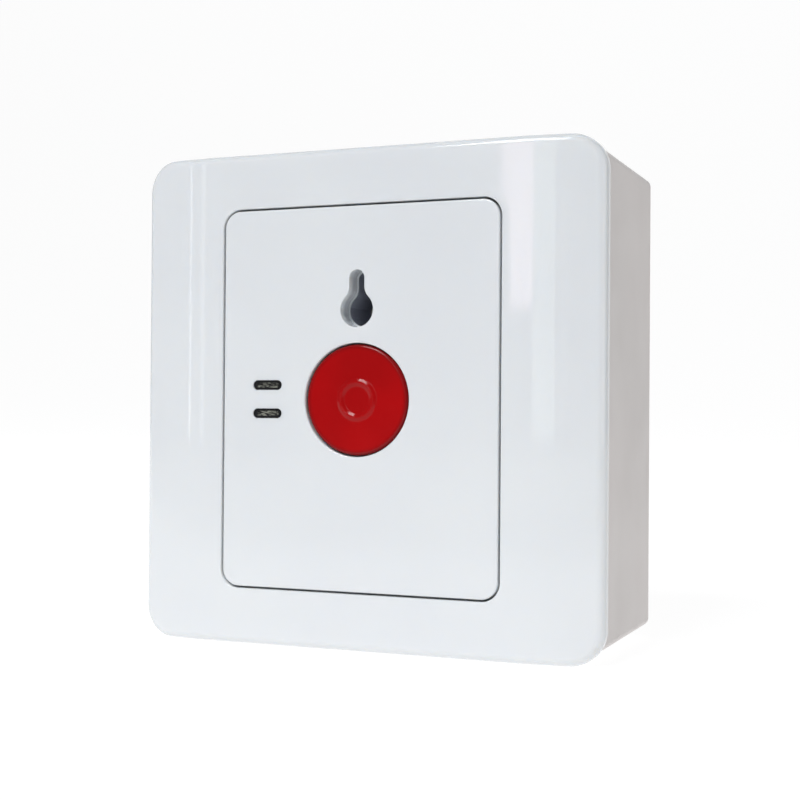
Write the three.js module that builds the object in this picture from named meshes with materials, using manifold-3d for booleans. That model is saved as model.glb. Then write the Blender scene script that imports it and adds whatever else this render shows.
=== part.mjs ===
// Wall-mounted emergency call button: a surface box, a function panel with the push button and
// its key-reset latch, and a snap-on frame with backswept wings. All sizes are in millimetres.
// Every piece is drawn lying face up, with X to the right, Y up the wall and Z out of the wall,
// and is stood upright at the end: X right, Z up, and the front facing -Y.
import * as THREE from 'three'
import { mergeVertices } from 'three/addons/utils/BufferGeometryUtils.js'
import Module from 'manifold-3d'

const wasm = await Module()
wasm.setup()

// Clearances
const seamGap = 0.3 // frame to box, all round
const panelGap = 0.35 // panel to frame opening
const runGap = 0.3 // between pieces that slide past each other
const fitGap = 0.2 // round a fixed piece in its hole

// Surface box
const boxDepth = 35.5
const boxInset = 1.5 // of the box behind the frame's edge
const boxTaper = 0.5
const boxCorner = 1.5
const boxWall = 2
const boxFloor = 2
const postRadius = 4
const screwPitch = 60.3
const fixingSlotLength = 9
const fixingSlotWidth = 4.6
const fixingSlotPitch = 60.3
const cableHoleRadius = 9
const cableHoleDrop = 15.5
const knockoutRadius = 8
const knockoutGroove = 0.8

// Front frame
const frameHalf = 43
const frameCorner = 5.8
const frontRise = 4.6 // of the front face over the box
const frontLevel = boxDepth + frontRise
const frameWall = 2.2
const skirtWall = 1.8
const rimFillet = 1.4
const openingRound = 0.25
const wingStart = 28
const wingRadius = 50
const hookOffset = 14
const hookWidth = 5
const hookArm = 1.2
const hookBarb = 1.2

// Function panel
const panelHalfWidth = 25.65
const panelHalfHeight = 32.9
const panelCorner = 3
const panelRound = 0.3
const panelWall = 2
const panelSideWall = 1.8
const flangeInset = 4.5 // inside the frame's edge
const flangeCorner = 3
const flangeThickness = 1.6
const flangeLevel = 33.3 // back of the flange, on top of the posts
const flangeRimHeight = 1
const keyholeDepth = 3.6
const collarWall = 1.2
const bossRadius = 2.6
const bossInset = 5

// Keyhole
const keyCentre = 15.2
const keyRadius = 3.05
const neckHalf = 1.42
const neckTop = 22
const neckBlend = 2.5
const keyCollarWall = 1

// Indicator slots
const slotCentreX = -17
const slotLength = 5.6
const slotWidth = 1.7
const slotUpper = 2.34
const slotPitch = 4.92
const guideRecess = 0.7
const guideWebThickness = 2
const guideWebMargin = 1.7

// Push button
const buttonCentre = -0.2
const buttonRadius = 9.5
const buttonHoleGap = 0.25
const buttonRecess = 0.3
const buttonRound = 1
const buttonWall = 1.8
const buttonFlange = 0.9
const buttonFlangeThickness = 1.2
const buttonSkirt = 7.6
const travel = 3.5
const touchRingCrest = 3
const touchRingHalf = 0.78
const touchRingHeight = 0.35
const stemRadius = 3
const stemEndBelowLatch = 1.3
const stemRootRadius = 3.6

// Latch slide
const latchThickness = 1.2
const latchDrop = 1.05
const latchHalfWidth = 5
const latchBottom = -6
const latchTop = 25.8
const latchWindowHalf = 2.3
const latchWindowMargin = 1.2
const lugThickness = 1.2
const lugHeight = 2.6
const spigotRadius = 0.7
const spigotLength = 1.8

// Mechanism housing
const trayHalfWidth = 23
const trayHalfHeight = 31
const bossOffsetX = trayHalfWidth - bossInset
const bossOffsetY = trayHalfHeight - bossInset
const trayCorner = 3
const trayWall = 1.5
const trayFloor = 1.5
const railWall = 1.2
const bridgeWall = 1.2
const springSeatHeight = 1
const boardPostRadius = 2.5
const boardPostX = 14
const boardPostY = 22

// Springs
const buttonSpringRadius = 6
const buttonSpringWire = 0.3
const buttonSpringTurns = 3.5
const latchSpringRadius = 1.15
const latchSpringWire = 0.17
const latchSpringTurns = 4

// Circuit board and what it carries
const boardHalfWidth = 20
const boardHalfHeight = 26
const boardThickness = 1.6
const switchHalf = 4
const switchHeight = 6.5
const plungerRadius = 1.7
const plungerHoleFloor = 0.8
const ledRadius = 1.4
const ledFlange = 0.25
const ledHeight = 4.2
const resistorRadius = 1.1
const resistorLength = 6
const resistorX = 9
const resistorY = 12
const resistorPitch = 5
const leadRadius = 0.3
const terminalPoles = 4
const terminalPitch = 5.08
const terminalHeight = 8.3
const terminalDepth = 8
const terminalCentre = 12
const wireEntry = 2.7
const wireEntryDepth = 6

// Fasteners
const plateScrew = { head: 3.75, headHeight: 2.3, shank: 1.7, length: 12 }
const tappingScrew = { head: 2, headHeight: 1.4, shank: 0.9, length: 8 }
const boardScrew = { head: 2, headHeight: 1.4, shank: 0.9, length: 6 }
const terminalScrew = { head: 1.6, headHeight: 1.2, shank: 1, length: 2.4 }
const insertRadius = 2.7
const insertLength = 8
const tappingClearance = 0.6

// Places and levels above the wall, worked out from the sizes
const boxFrontHalf = frameHalf - boxInset
const boxBackHalf = boxFrontHalf - boxTaper
const flangeHalf = frameHalf - flangeInset
const frameBack = boxDepth + seamGap
const panelInside = frontLevel - panelWall
const flangeTop = flangeLevel + flangeThickness
const buttonFace = frontLevel - buttonRecess
const buttonRim = buttonFace - buttonRound
const buttonCeiling = buttonFace - buttonWall
const flangeBottom = buttonFace - buttonSkirt - buttonFlangeThickness
const latchLevel = flangeBottom - travel - runGap - latchThickness
const trayLevel = latchLevel - runGap - trayFloor
const trayTop = trayLevel + trayFloor
const latchRoof = latchLevel + latchThickness + runGap
const springSeat = latchRoof + springSeatHeight
const stemEnd = latchLevel - stemEndBelowLatch
const switchTop = stemEnd - travel - runGap
const boardTop = switchTop - switchHeight
const boardBack = boardTop - boardThickness
const terminalBack = boardBack - terminalHeight
const terminalLedge = terminalBack + terminalScrew.headHeight + 0.4
const towerTop = frontLevel - keyholeDepth - fitGap
const lugBottom = latchTop - lugThickness
const latchSpringLevel = latchLevel + latchThickness / 2 + lugHeight / 2
const latchSpringEnd = trayHalfHeight - trayWall
const slotLevels = [slotUpper, slotUpper - slotPitch]

// Materials
const glossWhite = new THREE.MeshStandardMaterial({ color: 0xe6eaee, roughness: 0.22, metalness: 0 })
const boxWhite = new THREE.MeshStandardMaterial({ color: 0xe4e4e3, roughness: 0.4, metalness: 0 })
const glossRed = new THREE.MeshStandardMaterial({ color: 0xa8161c, roughness: 0.25, metalness: 0 })
const innerGrey = new THREE.MeshStandardMaterial({ color: 0x8b8c90, roughness: 0.5, metalness: 0 })
const latchNylon = new THREE.MeshStandardMaterial({ color: 0xd8d4c6, roughness: 0.5, metalness: 0 })
const clearAcrylic = new THREE.MeshStandardMaterial({ color: 0x6e7064, roughness: 0.15, metalness: 0 })
const springSteel = new THREE.MeshStandardMaterial({ color: 0xa9adb2, roughness: 0.3, metalness: 1 })
const zincSteel = new THREE.MeshStandardMaterial({ color: 0xc3c6ca, roughness: 0.35, metalness: 1 })
const turnedBrass = new THREE.MeshStandardMaterial({ color: 0xc39a4a, roughness: 0.35, metalness: 1 })
const boardGreen = new THREE.MeshStandardMaterial({ color: 0x1f5a35, roughness: 0.45, metalness: 0 })
const switchBlack = new THREE.MeshStandardMaterial({ color: 0x202124, roughness: 0.45, metalness: 0 })
const plungerWhite = new THREE.MeshStandardMaterial({ color: 0xe9e9e4, roughness: 0.4, metalness: 0 })
const terminalGreen = new THREE.MeshStandardMaterial({ color: 0x2f7d4c, roughness: 0.4, metalness: 0 })
const ledRed = new THREE.MeshStandardMaterial({ color: 0x9a3a34, roughness: 0.2, metalness: 0 })
const resistorTan = new THREE.MeshStandardMaterial({ color: 0xb99f74, roughness: 0.5, metalness: 0 })

// Geometry to solid, with merged corners, no collapsed triangles and the faces pointing out
function toSolid(geometry) {
  const bare = geometry.clone()
  bare.deleteAttribute('normal')
  bare.deleteAttribute('uv')
  const merged = mergeVertices(bare, 1e-4)
  const corners = merged.attributes.position
  const point = [0, 1, 2].map(() => new THREE.Vector3())
  const faces = []
  let volume = 0
  for (let i = 0; i < merged.index.count; i += 3) {
    const face = [0, 1, 2].map((k) => merged.index.getX(i + k))
    if (new Set(face).size < 3) continue
    face.forEach((corner, k) => point[k].fromBufferAttribute(corners, corner))
    volume += point[0].dot(point[1].cross(point[2]))
    faces.push(face)
  }
  const outward = volume > 0 ? faces : faces.map(([a, b, c]) => [a, c, b])
  const mesh = new wasm.Mesh({
    numProp: 3,
    vertProperties: new Float32Array(corners.array),
    triVerts: new Uint32Array(outward.flat()),
  })
  return new wasm.Manifold(mesh)
}

// Solid back to geometry
function toGeometry(solid) {
  const mesh = solid.getMesh()
  const geometry = new THREE.BufferGeometry()
  geometry.setAttribute('position', new THREE.BufferAttribute(mesh.vertProperties, 3))
  geometry.setIndex(new THREE.BufferAttribute(mesh.triVerts, 1))
  return geometry
}

const joined = (first, ...others) => others.reduce((whole, piece) => whole.add(piece), first)
const cut = (body, ...tools) => tools.reduce((left, tool) => left.subtract(tool), body)

// Outlines
function circleShape(x, y, radius) {
  return new THREE.Shape().absarc(x, y, radius, 0, Math.PI * 2, false)
}

function roundedShape(x, y, halfWidth, halfHeight, radius) {
  const shape = new THREE.Shape()
  const left = x - halfWidth + radius
  const right = x + halfWidth - radius
  const low = y - halfHeight + radius
  const high = y + halfHeight - radius
  shape.absarc(right, high, radius, 0, Math.PI / 2, false)
  shape.absarc(left, high, radius, Math.PI / 2, Math.PI, false)
  shape.absarc(left, low, radius, Math.PI, Math.PI * 1.5, false)
  shape.absarc(right, low, radius, Math.PI * 1.5, Math.PI * 2, false)
  return shape
}

const slotShape = (x, y, length, width) => roundedShape(x, y, length / 2, width / 2, width / 2 - 0.001)

// Pear-shaped keyhole: a round bulb that runs through hollow flanks into a round-topped neck
function keyholeShape(grow) {
  const half = neckHalf + grow
  const flank = neckHalf + neckBlend
  const rise = Math.sqrt((keyRadius + neckBlend) ** 2 - flank ** 2)
  const blend = neckBlend - grow
  const lean = Math.atan2(rise, flank)
  const shape = new THREE.Shape()
  shape.moveTo(half, keyCentre + rise)
  shape.absarc(0, neckTop - neckHalf, half, 0, Math.PI, false)
  shape.absarc(-flank, keyCentre + rise, blend, 0, -lean, true)
  shape.absarc(0, keyCentre, keyRadius + grow, Math.PI - lean, Math.PI * 2 + lean, false)
  shape.absarc(flank, keyCentre + rise, blend, Math.PI + lean, Math.PI, true)
  return shape
}

// Solids
function extruded(shape, from, to, curveSegments = 6) {
  const geometry = new THREE.ExtrudeGeometry(shape, { depth: to - from, bevelEnabled: false, curveSegments })
  return toSolid(geometry.translate(0, 0, from))
}

// A profile in the Y-Z plane, extruded along X
function extrudedAcross(points, from, to) {
  const shape = new THREE.Shape(points.map(([y, z]) => new THREE.Vector2(y, z)))
  const geometry = new THREE.ExtrudeGeometry(shape, { depth: to - from, bevelEnabled: false })
  const place = geometry.translate(0, 0, from).attributes.position
  for (let i = 0; i < place.count; i++) {
    place.setXYZ(i, place.getZ(i), place.getX(i), place.getY(i))
  }
  return toSolid(geometry)
}

function block(fromX, toX, fromY, toY, fromZ, toZ) {
  const geometry = new THREE.BoxGeometry(toX - fromX, toY - fromY, toZ - fromZ)
  geometry.translate((fromX + toX) / 2, (fromY + toY) / 2, (fromZ + toZ) / 2)
  return toSolid(geometry)
}

// A profile of radius and height, turned about a line along Z
function turned(x, y, profile, segments) {
  const points = profile.map(([radius, height]) => new THREE.Vector2(radius, height))
  const geometry = new THREE.LatheGeometry(points, segments)
  const place = geometry.attributes.position
  for (let i = 0; i < place.count; i++) {
    place.setXYZ(i, x + place.getX(i), y - place.getZ(i), place.getY(i))
  }
  return toSolid(geometry)
}

const cylinder = (x, y, radius, from, to, segments = 24) =>
  turned(x, y, [[0, from], [radius, from], [radius, to], [0, to]], segments)

const tube = (x, y, inner, outer, from, to, segments = 24) =>
  turned(x, y, [[inner, from], [outer, from], [outer, to], [inner, to], [inner, from]], segments)

function roundedArc(centreRadius, centreHeight, radius, fromAngle, toAngle, steps) {
  return Array.from({ length: steps + 1 }, (_, i) => {
    const angle = fromAngle + ((toAngle - fromAngle) * i) / steps
    return [centreRadius + radius * Math.cos(angle), centreHeight + radius * Math.sin(angle)]
  })
}

// A rounded rectangle as a ring of points: rings of any size have equal counts, so they can be lofted
function ring(halfWidth, halfHeight, radius, heightAt, edgeSteps = [1, 1]) {
  const cornerSteps = 5
  const points = []
  const corners = [[1, 1], [-1, 1], [-1, -1], [1, -1]]
  corners.forEach(([signX, signY], i) => {
    const x = signX * (halfWidth - radius)
    const y = signY * (halfHeight - radius)
    for (let step = 0; step <= cornerSteps; step++) {
      const angle = ((i + step / cornerSteps) * Math.PI) / 2
      points.push([x + radius * Math.cos(angle), y + radius * Math.sin(angle)])
    }
    const along = i % 2 === 0 ? [-2 * x, 0] : [0, -2 * y]
    const start = points[points.length - 1]
    for (let step = 1; step < edgeSteps[i % 2]; step++) {
      const share = step / edgeSteps[i % 2]
      points.push([start[0] + along[0] * share, start[1] + along[1] * share])
    }
  })
  return points.map(([x, y]) => new THREE.Vector3(x, y, heightAt(x)))
}

function blended(first, second, share, heightAt) {
  return first.map((point, i) => {
    const between = point.clone().lerp(second[i], share)
    between.z = heightAt(between.x)
    return between
  })
}

// Rings joined by walls: closed back to the first ring, or capped at both ends
function lofted(rings, capped) {
  const count = rings[0].length
  const positions = rings.flat().flatMap((point) => point.toArray())
  const faces = []
  const last = capped ? rings.length - 1 : rings.length
  for (let level = 0; level < last; level++) {
    const above = ((level + 1) % rings.length) * count
    for (let i = 0; i < count; i++) {
      const next = (i + 1) % count
      const lowStart = level * count + i
      const lowEnd = level * count + next
      faces.push(lowStart, lowEnd, above + next, lowStart, above + next, above + i)
    }
  }
  if (capped) {
    const flat = rings[0].map((point) => new THREE.Vector2(point.x, point.y))
    const top = (rings.length - 1) * count
    THREE.ShapeUtils.triangulateShape(flat, []).forEach(([a, b, c]) => {
      faces.push(a, c, b, top + a, top + b, top + c)
    })
  }
  const geometry = new THREE.BufferGeometry()
  geometry.setAttribute('position', new THREE.Float32BufferAttribute(positions, 3))
  geometry.setIndex(faces)
  return toSolid(geometry)
}

// A coil of round wire along Z
class Coil extends THREE.Curve {
  constructor(radius, from, to, turns) {
    super()
    Object.assign(this, { radius, from, to, turns })
  }

  getPoint(share, target = new THREE.Vector3()) {
    const angle = share * this.turns * Math.PI * 2
    const height = this.from + (this.to - this.from) * share
    return target.set(this.radius * Math.cos(angle), this.radius * Math.sin(angle), height)
  }
}

function wound(radius, wire, from, to, turns, stepsPerTurn) {
  const path = new Coil(radius, from + wire, to - wire, turns)
  const steps = Math.round(turns * stepsPerTurn)
  const section = circleShape(0, 0, wire)
  return new THREE.ExtrudeGeometry(section, { steps, extrudePath: path, bevelEnabled: false, curveSegments: 3 })
}

// A screw with its head on the +Z side of its seat, and a cross recess
function screw(x, y, seat, size) {
  const round = size.headHeight * 0.35
  const profile = [
    [0, seat - size.length],
    [size.shank * 0.6, seat - size.length],
    [size.shank, seat - size.length + size.shank * 0.5],
    [size.shank, seat],
    [size.head, seat],
    [size.head, seat + size.headHeight - round],
    [size.head - round, seat + size.headHeight],
    [0, seat + size.headHeight],
  ]
  const arm = size.head * 0.6
  const half = size.head * 0.14
  const bottom = seat + size.headHeight * 0.4
  const top = seat + size.headHeight + 1
  const recess = block(x - arm, x + arm, y - half, y + half, bottom, top)
  const crossing = block(x - half, x + half, y - arm, y + arm, bottom, top)
  return cut(turned(x, y, profile, 12), recess.add(crossing))
}

// The same screw with its head towards the wall
function screwFromBehind(x, y, seat, size) {
  const facing = toGeometry(screw(0, 0, 0, size)).scale(1, -1, -1)
  return toSolid(facing.translate(x, y, seat))
}

// Front surface of the frame: flat in the middle, swept back in an arc at both sides
function frontAt(x) {
  const past = Math.max(0, Math.abs(x) - wingStart)
  return frontLevel - (wingRadius - Math.sqrt(wingRadius ** 2 - past ** 2))
}

function frontFrame() {
  const openWidth = panelHalfWidth + panelGap
  const openHeight = panelHalfHeight + panelGap
  const openCorner = panelCorner + panelGap
  const filletSteps = 3
  const edgeSteps = [12, 3]
  const square = (inset, heightAt) =>
    ring(frameHalf - inset, frameHalf - inset, frameCorner - inset, heightAt, edgeSteps)
  const outer = (inset, drop) => square(inset, (x) => frontAt(x) - drop)
  const opening = (margin, level) =>
    ring(openWidth + margin, openHeight + margin, openCorner + margin, () => level, edgeSteps)
  const rings = [square(0, () => frameBack)]
  for (let step = 0; step <= filletSteps; step++) {
    const angle = ((step / filletSteps) * Math.PI) / 2
    rings.push(outer(rimFillet * (1 - Math.cos(angle)), rimFillet * (1 - Math.sin(angle))))
  }
  const shoulder = rings[rings.length - 1]
  const lip = opening(openingRound, frontLevel)
  for (const share of [0.25, 0.5, 0.75]) rings.push(blended(shoulder, lip, share, frontAt))
  rings.push(lip, opening(0, frontLevel - openingRound), opening(0, frontLevel - frameWall))
  const underAt = (x) => frontAt(x) - frameWall
  const inner = square(skirtWall, underAt)
  const underLip = opening(0, frontLevel - frameWall)
  for (const share of [0.33, 0.66]) rings.push(blended(underLip, inner, share, underAt))
  rings.push(inner, square(skirtWall, () => frameBack))
  return joined(lofted(rings, false), ...frameHooks())
}

// Four snap hooks that reach through the notches of the panel's flange and grip behind it
function frameHooks() {
  const inside = flangeHalf - hookArm - runGap
  const tip = inside - hookBarb
  const grip = flangeLevel - runGap
  const profile = [
    [inside, frontLevel - frameWall + 0.4],
    [inside, grip],
    [tip, grip],
    [tip, grip - 0.6],
    [inside + hookArm / 2, grip - 1.9],
    [inside + hookArm, grip - 1.5],
    [inside + hookArm, frontLevel - frameWall + 0.4],
  ]
  const hooks = []
  for (const side of [-1, 1]) {
    const from = side * hookOffset - hookWidth / 2
    hooks.push(extrudedAcross(profile, from, from + hookWidth))
    hooks.push(extrudedAcross(profile.map(([y, z]) => [-y, z]), from, from + hookWidth))
  }
  return hooks
}

function backBox() {
  const level = (half, corner, height) => ring(half, half, corner, () => height)
  const innerCorner = boxCorner - 1
  const outside = lofted([level(boxBackHalf, boxCorner, 0), level(boxFrontHalf, boxCorner, boxDepth)], true)
  const inside = lofted([
    level(boxBackHalf - boxWall, innerCorner, boxFloor),
    level(boxFrontHalf - boxWall, innerCorner, boxDepth),
    level(boxFrontHalf - boxWall, innerCorner, boxDepth + 1),
  ], true)
  const postX = screwPitch / 2
  const ribTop = flangeLevel - insertLength
  const ribEnd = boxBackHalf - boxWall / 2
  const shell = cut(outside, inside)
  const posts = [-1, 1].flatMap((side) => [
    cylinder(side * postX, 0, postRadius, boxFloor / 2, flangeLevel),
    block(Math.min(side * postX, side * ribEnd), Math.max(side * postX, side * ribEnd),
      -railWall / 2, railWall / 2, boxFloor / 2, ribTop),
  ])
  const holes = [-1, 1].flatMap((side) => [
    cylinder(side * postX, 0, insertRadius + fitGap, flangeLevel - insertLength - fitGap, flangeLevel + 1, 16),
    cylinder(side * postX, 0, plateScrew.shank + runGap, flangeTop - plateScrew.length - 1, flangeLevel, 16),
    extruded(slotShape(0, (side * fixingSlotPitch) / 2, fixingSlotLength, fixingSlotWidth), -1, boxFloor + 1, 3),
  ])
  const cableHole = cylinder(0, -cableHoleDrop, cableHoleRadius, -1, boxFloor + 1)
  return cut(joined(shell, ...posts), ...holes, cableHole, ...knockouts())
}

// Scored round knock-outs in the top and bottom walls
function knockouts() {
  const groove = tube(0, 0, knockoutRadius - knockoutGroove, knockoutRadius, 0, 4, 24)
  return [-1, 1].map((side) => {
    const geometry = toGeometry(groove)
    const place = geometry.attributes.position
    const start = boxBackHalf + 0.1
    for (let i = 0; i < place.count; i++) {
      const [x, y, z] = [place.getX(i), place.getY(i), place.getZ(i)]
      place.setXYZ(i, x, side * (start + z), y + boxDepth / 2)
    }
    return toSolid(geometry)
  })
}

function functionPanel() {
  const pocketWidth = panelHalfWidth - panelSideWall
  const pocketHeight = panelHalfHeight - panelSideWall
  const pocketCorner = Math.max(panelCorner - panelSideWall, 0.5)
  const level = (inset, height) =>
    ring(panelHalfWidth - inset, panelHalfHeight - inset, panelCorner - inset, () => height)
  const raised = lofted([
    level(0, flangeLevel),
    level(0, frontLevel - panelRound),
    level(panelRound * 0.3, frontLevel - panelRound * 0.3),
    level(panelRound, frontLevel),
  ], true)
  const flange = extruded(roundedShape(0, 0, flangeHalf, flangeHalf, flangeCorner), flangeLevel, flangeTop, 2)
  const rim = cut(
    extruded(roundedShape(0, 0, flangeHalf, flangeHalf, flangeCorner), flangeTop, flangeTop + flangeRimHeight, 2),
    extruded(roundedShape(0, 0, flangeHalf - 1, flangeHalf - 1, flangeCorner - 1), flangeTop - 1,
      flangeTop + flangeRimHeight + 1, 2),
  )
  const pocket = extruded(
    roundedShape(0, 0, pocketWidth, pocketHeight, pocketCorner), flangeLevel - 1, panelInside, 2)
  const shell = cut(joined(flange, rim, raised), pocket, ...flangeCuts())
  return cut(joined(shell, ...panelCollars()), ...panelOpenings())
}

// Screw slots and hook notches in the flange
function flangeCuts() {
  const slotWide = plateScrew.shank * 2 + 1
  const slotTall = slotWide + 2.4
  const notchHalf = hookWidth / 2 + runGap
  const notchInside = flangeHalf - hookArm - 2 * runGap
  const cuts = []
  for (const side of [-1, 1]) {
    const x = (side * screwPitch) / 2
    cuts.push(cylinder(x, 0, plateScrew.head + runGap, flangeTop, flangeTop + flangeRimHeight + 1, 16))
    const slot = roundedShape(x, 0, slotWide / 2, slotTall / 2, slotWide / 2 - 0.001)
    cuts.push(extruded(slot, flangeLevel - 1, flangeTop + 1, 3))
    for (const end of [-1, 1]) {
      const near = end * notchInside
      const far = end * (flangeHalf + 1)
      cuts.push(block(side * hookOffset - notchHalf, side * hookOffset + notchHalf,
        Math.min(near, far), Math.max(near, far), flangeLevel - 1, flangeTop + flangeRimHeight + 1))
    }
  }
  return cuts
}

// Guide collar of the button, collar of the keyhole and the four screw bosses behind the panel
function panelCollars() {
  const holeRadius = buttonRadius + buttonHoleGap
  const collarEnd = flangeBottom + buttonFlangeThickness + runGap
  const sunk = panelInside + panelWall / 2
  const bosses = [-1, 1].flatMap((sideX) => [-1, 1].map((sideY) =>
    cylinder(sideX * bossOffsetX, sideY * bossOffsetY, bossRadius, trayTop, sunk, 16)))
  return [
    cylinder(0, buttonCentre, holeRadius + collarWall, collarEnd, sunk, 32),
    extruded(keyholeShape(keyCollarWall), frontLevel - keyholeDepth, sunk, 4),
    ...bosses,
  ]
}

function panelOpenings() {
  const holeRadius = buttonRadius + buttonHoleGap
  const pilot = tappingScrew.shank + fitGap
  const pilotEnd = trayLevel + tappingScrew.length + 1
  const pilots = [-1, 1].flatMap((sideX) => [-1, 1].map((sideY) =>
    cylinder(sideX * bossOffsetX, sideY * bossOffsetY, pilot, trayTop - 1, pilotEnd, 12)))
  const slots = slotLevels.map((level) =>
    extruded(slotShape(slotCentreX, level, slotLength, slotWidth), panelInside - 1, frontLevel + 1, 2))
  return [
    cylinder(0, buttonCentre, holeRadius, flangeLevel - travel, frontLevel + 1, 32),
    extruded(keyholeShape(0), frontLevel - keyholeDepth - 1, frontLevel + 1, 5),
    ...slots,
    ...pilots,
  ]
}

// The button cap, its guiding skirt with a retaining flange, and the stem with the latch groove
function pushButton() {
  const inner = buttonRadius - buttonWall
  const neck = stemRadius - latchDrop
  const grooveEnd = latchLevel + travel + latchThickness + runGap
  const ringFoot = touchRingHalf
  const crestArc = roundedArc(touchRingCrest, buttonFace - touchRingHeight * 0.2, 1, 0, Math.PI, 4)
    .map(([radius, height]) => [
      touchRingCrest + (radius - touchRingCrest) * ringFoot,
      buttonFace + (height - buttonFace + touchRingHeight * 0.2) * touchRingHeight,
    ])
  const edge = roundedArc(buttonRadius - buttonRound, buttonRim, buttonRound, 0, Math.PI / 2, 3)
  const profile = [
    [0, stemEnd],
    [stemRadius, stemEnd],
    [stemRadius, latchLevel],
    [neck, latchLevel + travel],
    [neck, grooveEnd],
    [stemRootRadius, grooveEnd + stemRootRadius - neck],
    [stemRootRadius, buttonCeiling],
    [inner, buttonCeiling],
    [inner, flangeBottom],
    [buttonRadius + buttonFlange, flangeBottom],
    [buttonRadius + buttonFlange, flangeBottom + buttonFlangeThickness],
    [buttonRadius, flangeBottom + buttonFlangeThickness],
    ...edge,
    ...crestArc,
    [0, buttonFace],
  ]
  return turned(0, buttonCentre, profile, 32)
}

function latchSlide() {
  const middle = (latchTop + latchBottom) / 2
  const shape = roundedShape(0, middle, latchHalfWidth, (latchTop - latchBottom) / 2, 1)
  const windowRadius = stemRadius + runGap
  const window = new THREE.Path()
  window.absarc(0, buttonCentre, windowRadius, 0, Math.PI, false)
  window.absarc(0, buttonCentre - windowRadius * 0.15, windowRadius, Math.PI, Math.PI * 2, false)
  shape.holes.push(window)
  const keyWindow = roundedShape(0, (keyCentre + neckTop) / 2 - latchWindowMargin,
    latchWindowHalf, (neckTop - keyCentre + keyRadius) / 2, 0.8)
  shape.holes.push(keyWindow)
  const plate = extruded(shape, latchLevel, latchLevel + latchThickness, 4)
  const lug = block(-latchHalfWidth / 2, latchHalfWidth / 2, lugBottom, latchTop,
    latchLevel + latchThickness / 2, latchLevel + latchThickness + lugHeight)
  const spigot = extrudedAlongY(circleShape(0, latchSpringLevel, spigotRadius), latchTop - 0.5,
    latchTop + spigotLength)
  return joined(plate, lug, spigot)
}

// An outline in the X-Z plane, extruded up the wall
function extrudedAlongY(shape, from, to) {
  const geometry = new THREE.ExtrudeGeometry(shape, { depth: to - from, bevelEnabled: false, curveSegments: 3 })
  const place = geometry.translate(0, 0, from).attributes.position
  for (let i = 0; i < place.count; i++) {
    place.setXYZ(i, place.getX(i), place.getZ(i), place.getY(i))
  }
  return toSolid(geometry)
}

function mechanismHousing() {
  const outline = roundedShape(0, 0, trayHalfWidth, trayHalfHeight, trayCorner)
  const hollow = roundedShape(0, 0, trayHalfWidth - trayWall, trayHalfHeight - trayWall, trayCorner - trayWall)
  const tray = cut(
    extruded(outline, trayLevel, flangeLevel - runGap, 2),
    extruded(hollow, trayTop, flangeLevel + 1, 2),
  )
  const channelHalf = latchHalfWidth + runGap
  const channelBottom = latchBottom - latchDrop - runGap
  const channelEnd = trayHalfHeight - trayWall
  const rails = block(-channelHalf - railWall, channelHalf + railWall, channelBottom - railWall, channelEnd + 0.5,
    trayTop - 0.5, latchLevel + latchThickness)
  const tower = extruded(keyholeShape(keyCollarWall), trayTop - 0.5, towerTop, 4)
  const bridge = block(-channelHalf - railWall, channelHalf + railWall,
    keyCentre - keyRadius - keyCollarWall, neckTop + keyCollarWall, trayTop - 0.5, latchRoof + bridgeWall)
  const seat = cylinder(0, buttonCentre, buttonSpringRadius + buttonSpringWire + 1.1, trayTop - 0.5, springSeat, 24)
  const posts = [-1, 1].map((side) =>
    cylinder(side * boardPostX, side * boardPostY, boardPostRadius, boardTop, trayTop - 0.5, 16))
  return cut(joined(tray, rails, tower, bridge, seat, ...posts), ...housingCuts(channelHalf, channelBottom, channelEnd))
}

// Latch channel, key way, stem hole, light guide hole and screw holes of the housing
function housingCuts(channelHalf, channelBottom, channelEnd) {
  const guideHalf = slotLength / 2 + runGap
  const guideMiddle = slotUpper - slotPitch / 2
  const guideTall = slotPitch / 2 + slotWidth / 2 + runGap
  const screwHoles = [-1, 1].flatMap((sideX) => [-1, 1].map((sideY) =>
    cylinder(sideX * bossOffsetX, sideY * bossOffsetY, tappingScrew.shank + tappingClearance,
      trayLevel - 1, trayTop + 0.5, 12)))
  const pilots = [-1, 1].map((side) =>
    cylinder(side * boardPostX, side * boardPostY, boardScrew.shank + fitGap, boardTop - 1,
      boardBack + boardScrew.length + 1, 12))
  return [
    block(-channelHalf, channelHalf, channelBottom, channelEnd, trayTop, latchRoof),
    extruded(keyholeShape(0), trayTop, towerTop + 1, 4),
    cylinder(0, buttonCentre, stemRootRadius + runGap, trayLevel - 1, springSeat + 1, 24),
    block(slotCentreX - guideHalf, slotCentreX + guideHalf, guideMiddle - guideTall, guideMiddle + guideTall,
      trayLevel - 1, trayTop + 1),
    ...screwHoles,
    ...pilots,
  ]
}

// Clear moulding: two flat pipes from the lamps to the slots, joined by a web behind the panel
function lightGuide() {
  const pipeLength = slotLength - 2 * fitGap
  const pipeWidth = slotWidth - 2 * fitGap
  const lampTop = boardTop + ledHeight + runGap
  const middle = slotUpper - slotPitch / 2
  const webTall = slotPitch / 2 + slotWidth / 2 + guideWebMargin
  const web = roundedShape(slotCentreX, middle, slotLength / 2 + guideWebMargin, webTall, 1)
  const pipes = slotLevels.map((level) =>
    extruded(slotShape(slotCentreX, level, pipeLength, pipeWidth), lampTop, frontLevel - guideRecess, 2))
  return joined(extruded(web, panelInside - guideWebThickness, panelInside, 2), ...pipes)
}

function circuitBoard() {
  const shape = roundedShape(0, 0, boardHalfWidth, boardHalfHeight, 1.5)
  for (const side of [-1, 1]) {
    shape.holes.push(circleShape(side * boardPostX, side * boardPostY, boardScrew.shank + tappingClearance))
  }
  return extruded(shape, boardBack, boardTop, 3)
}

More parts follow.
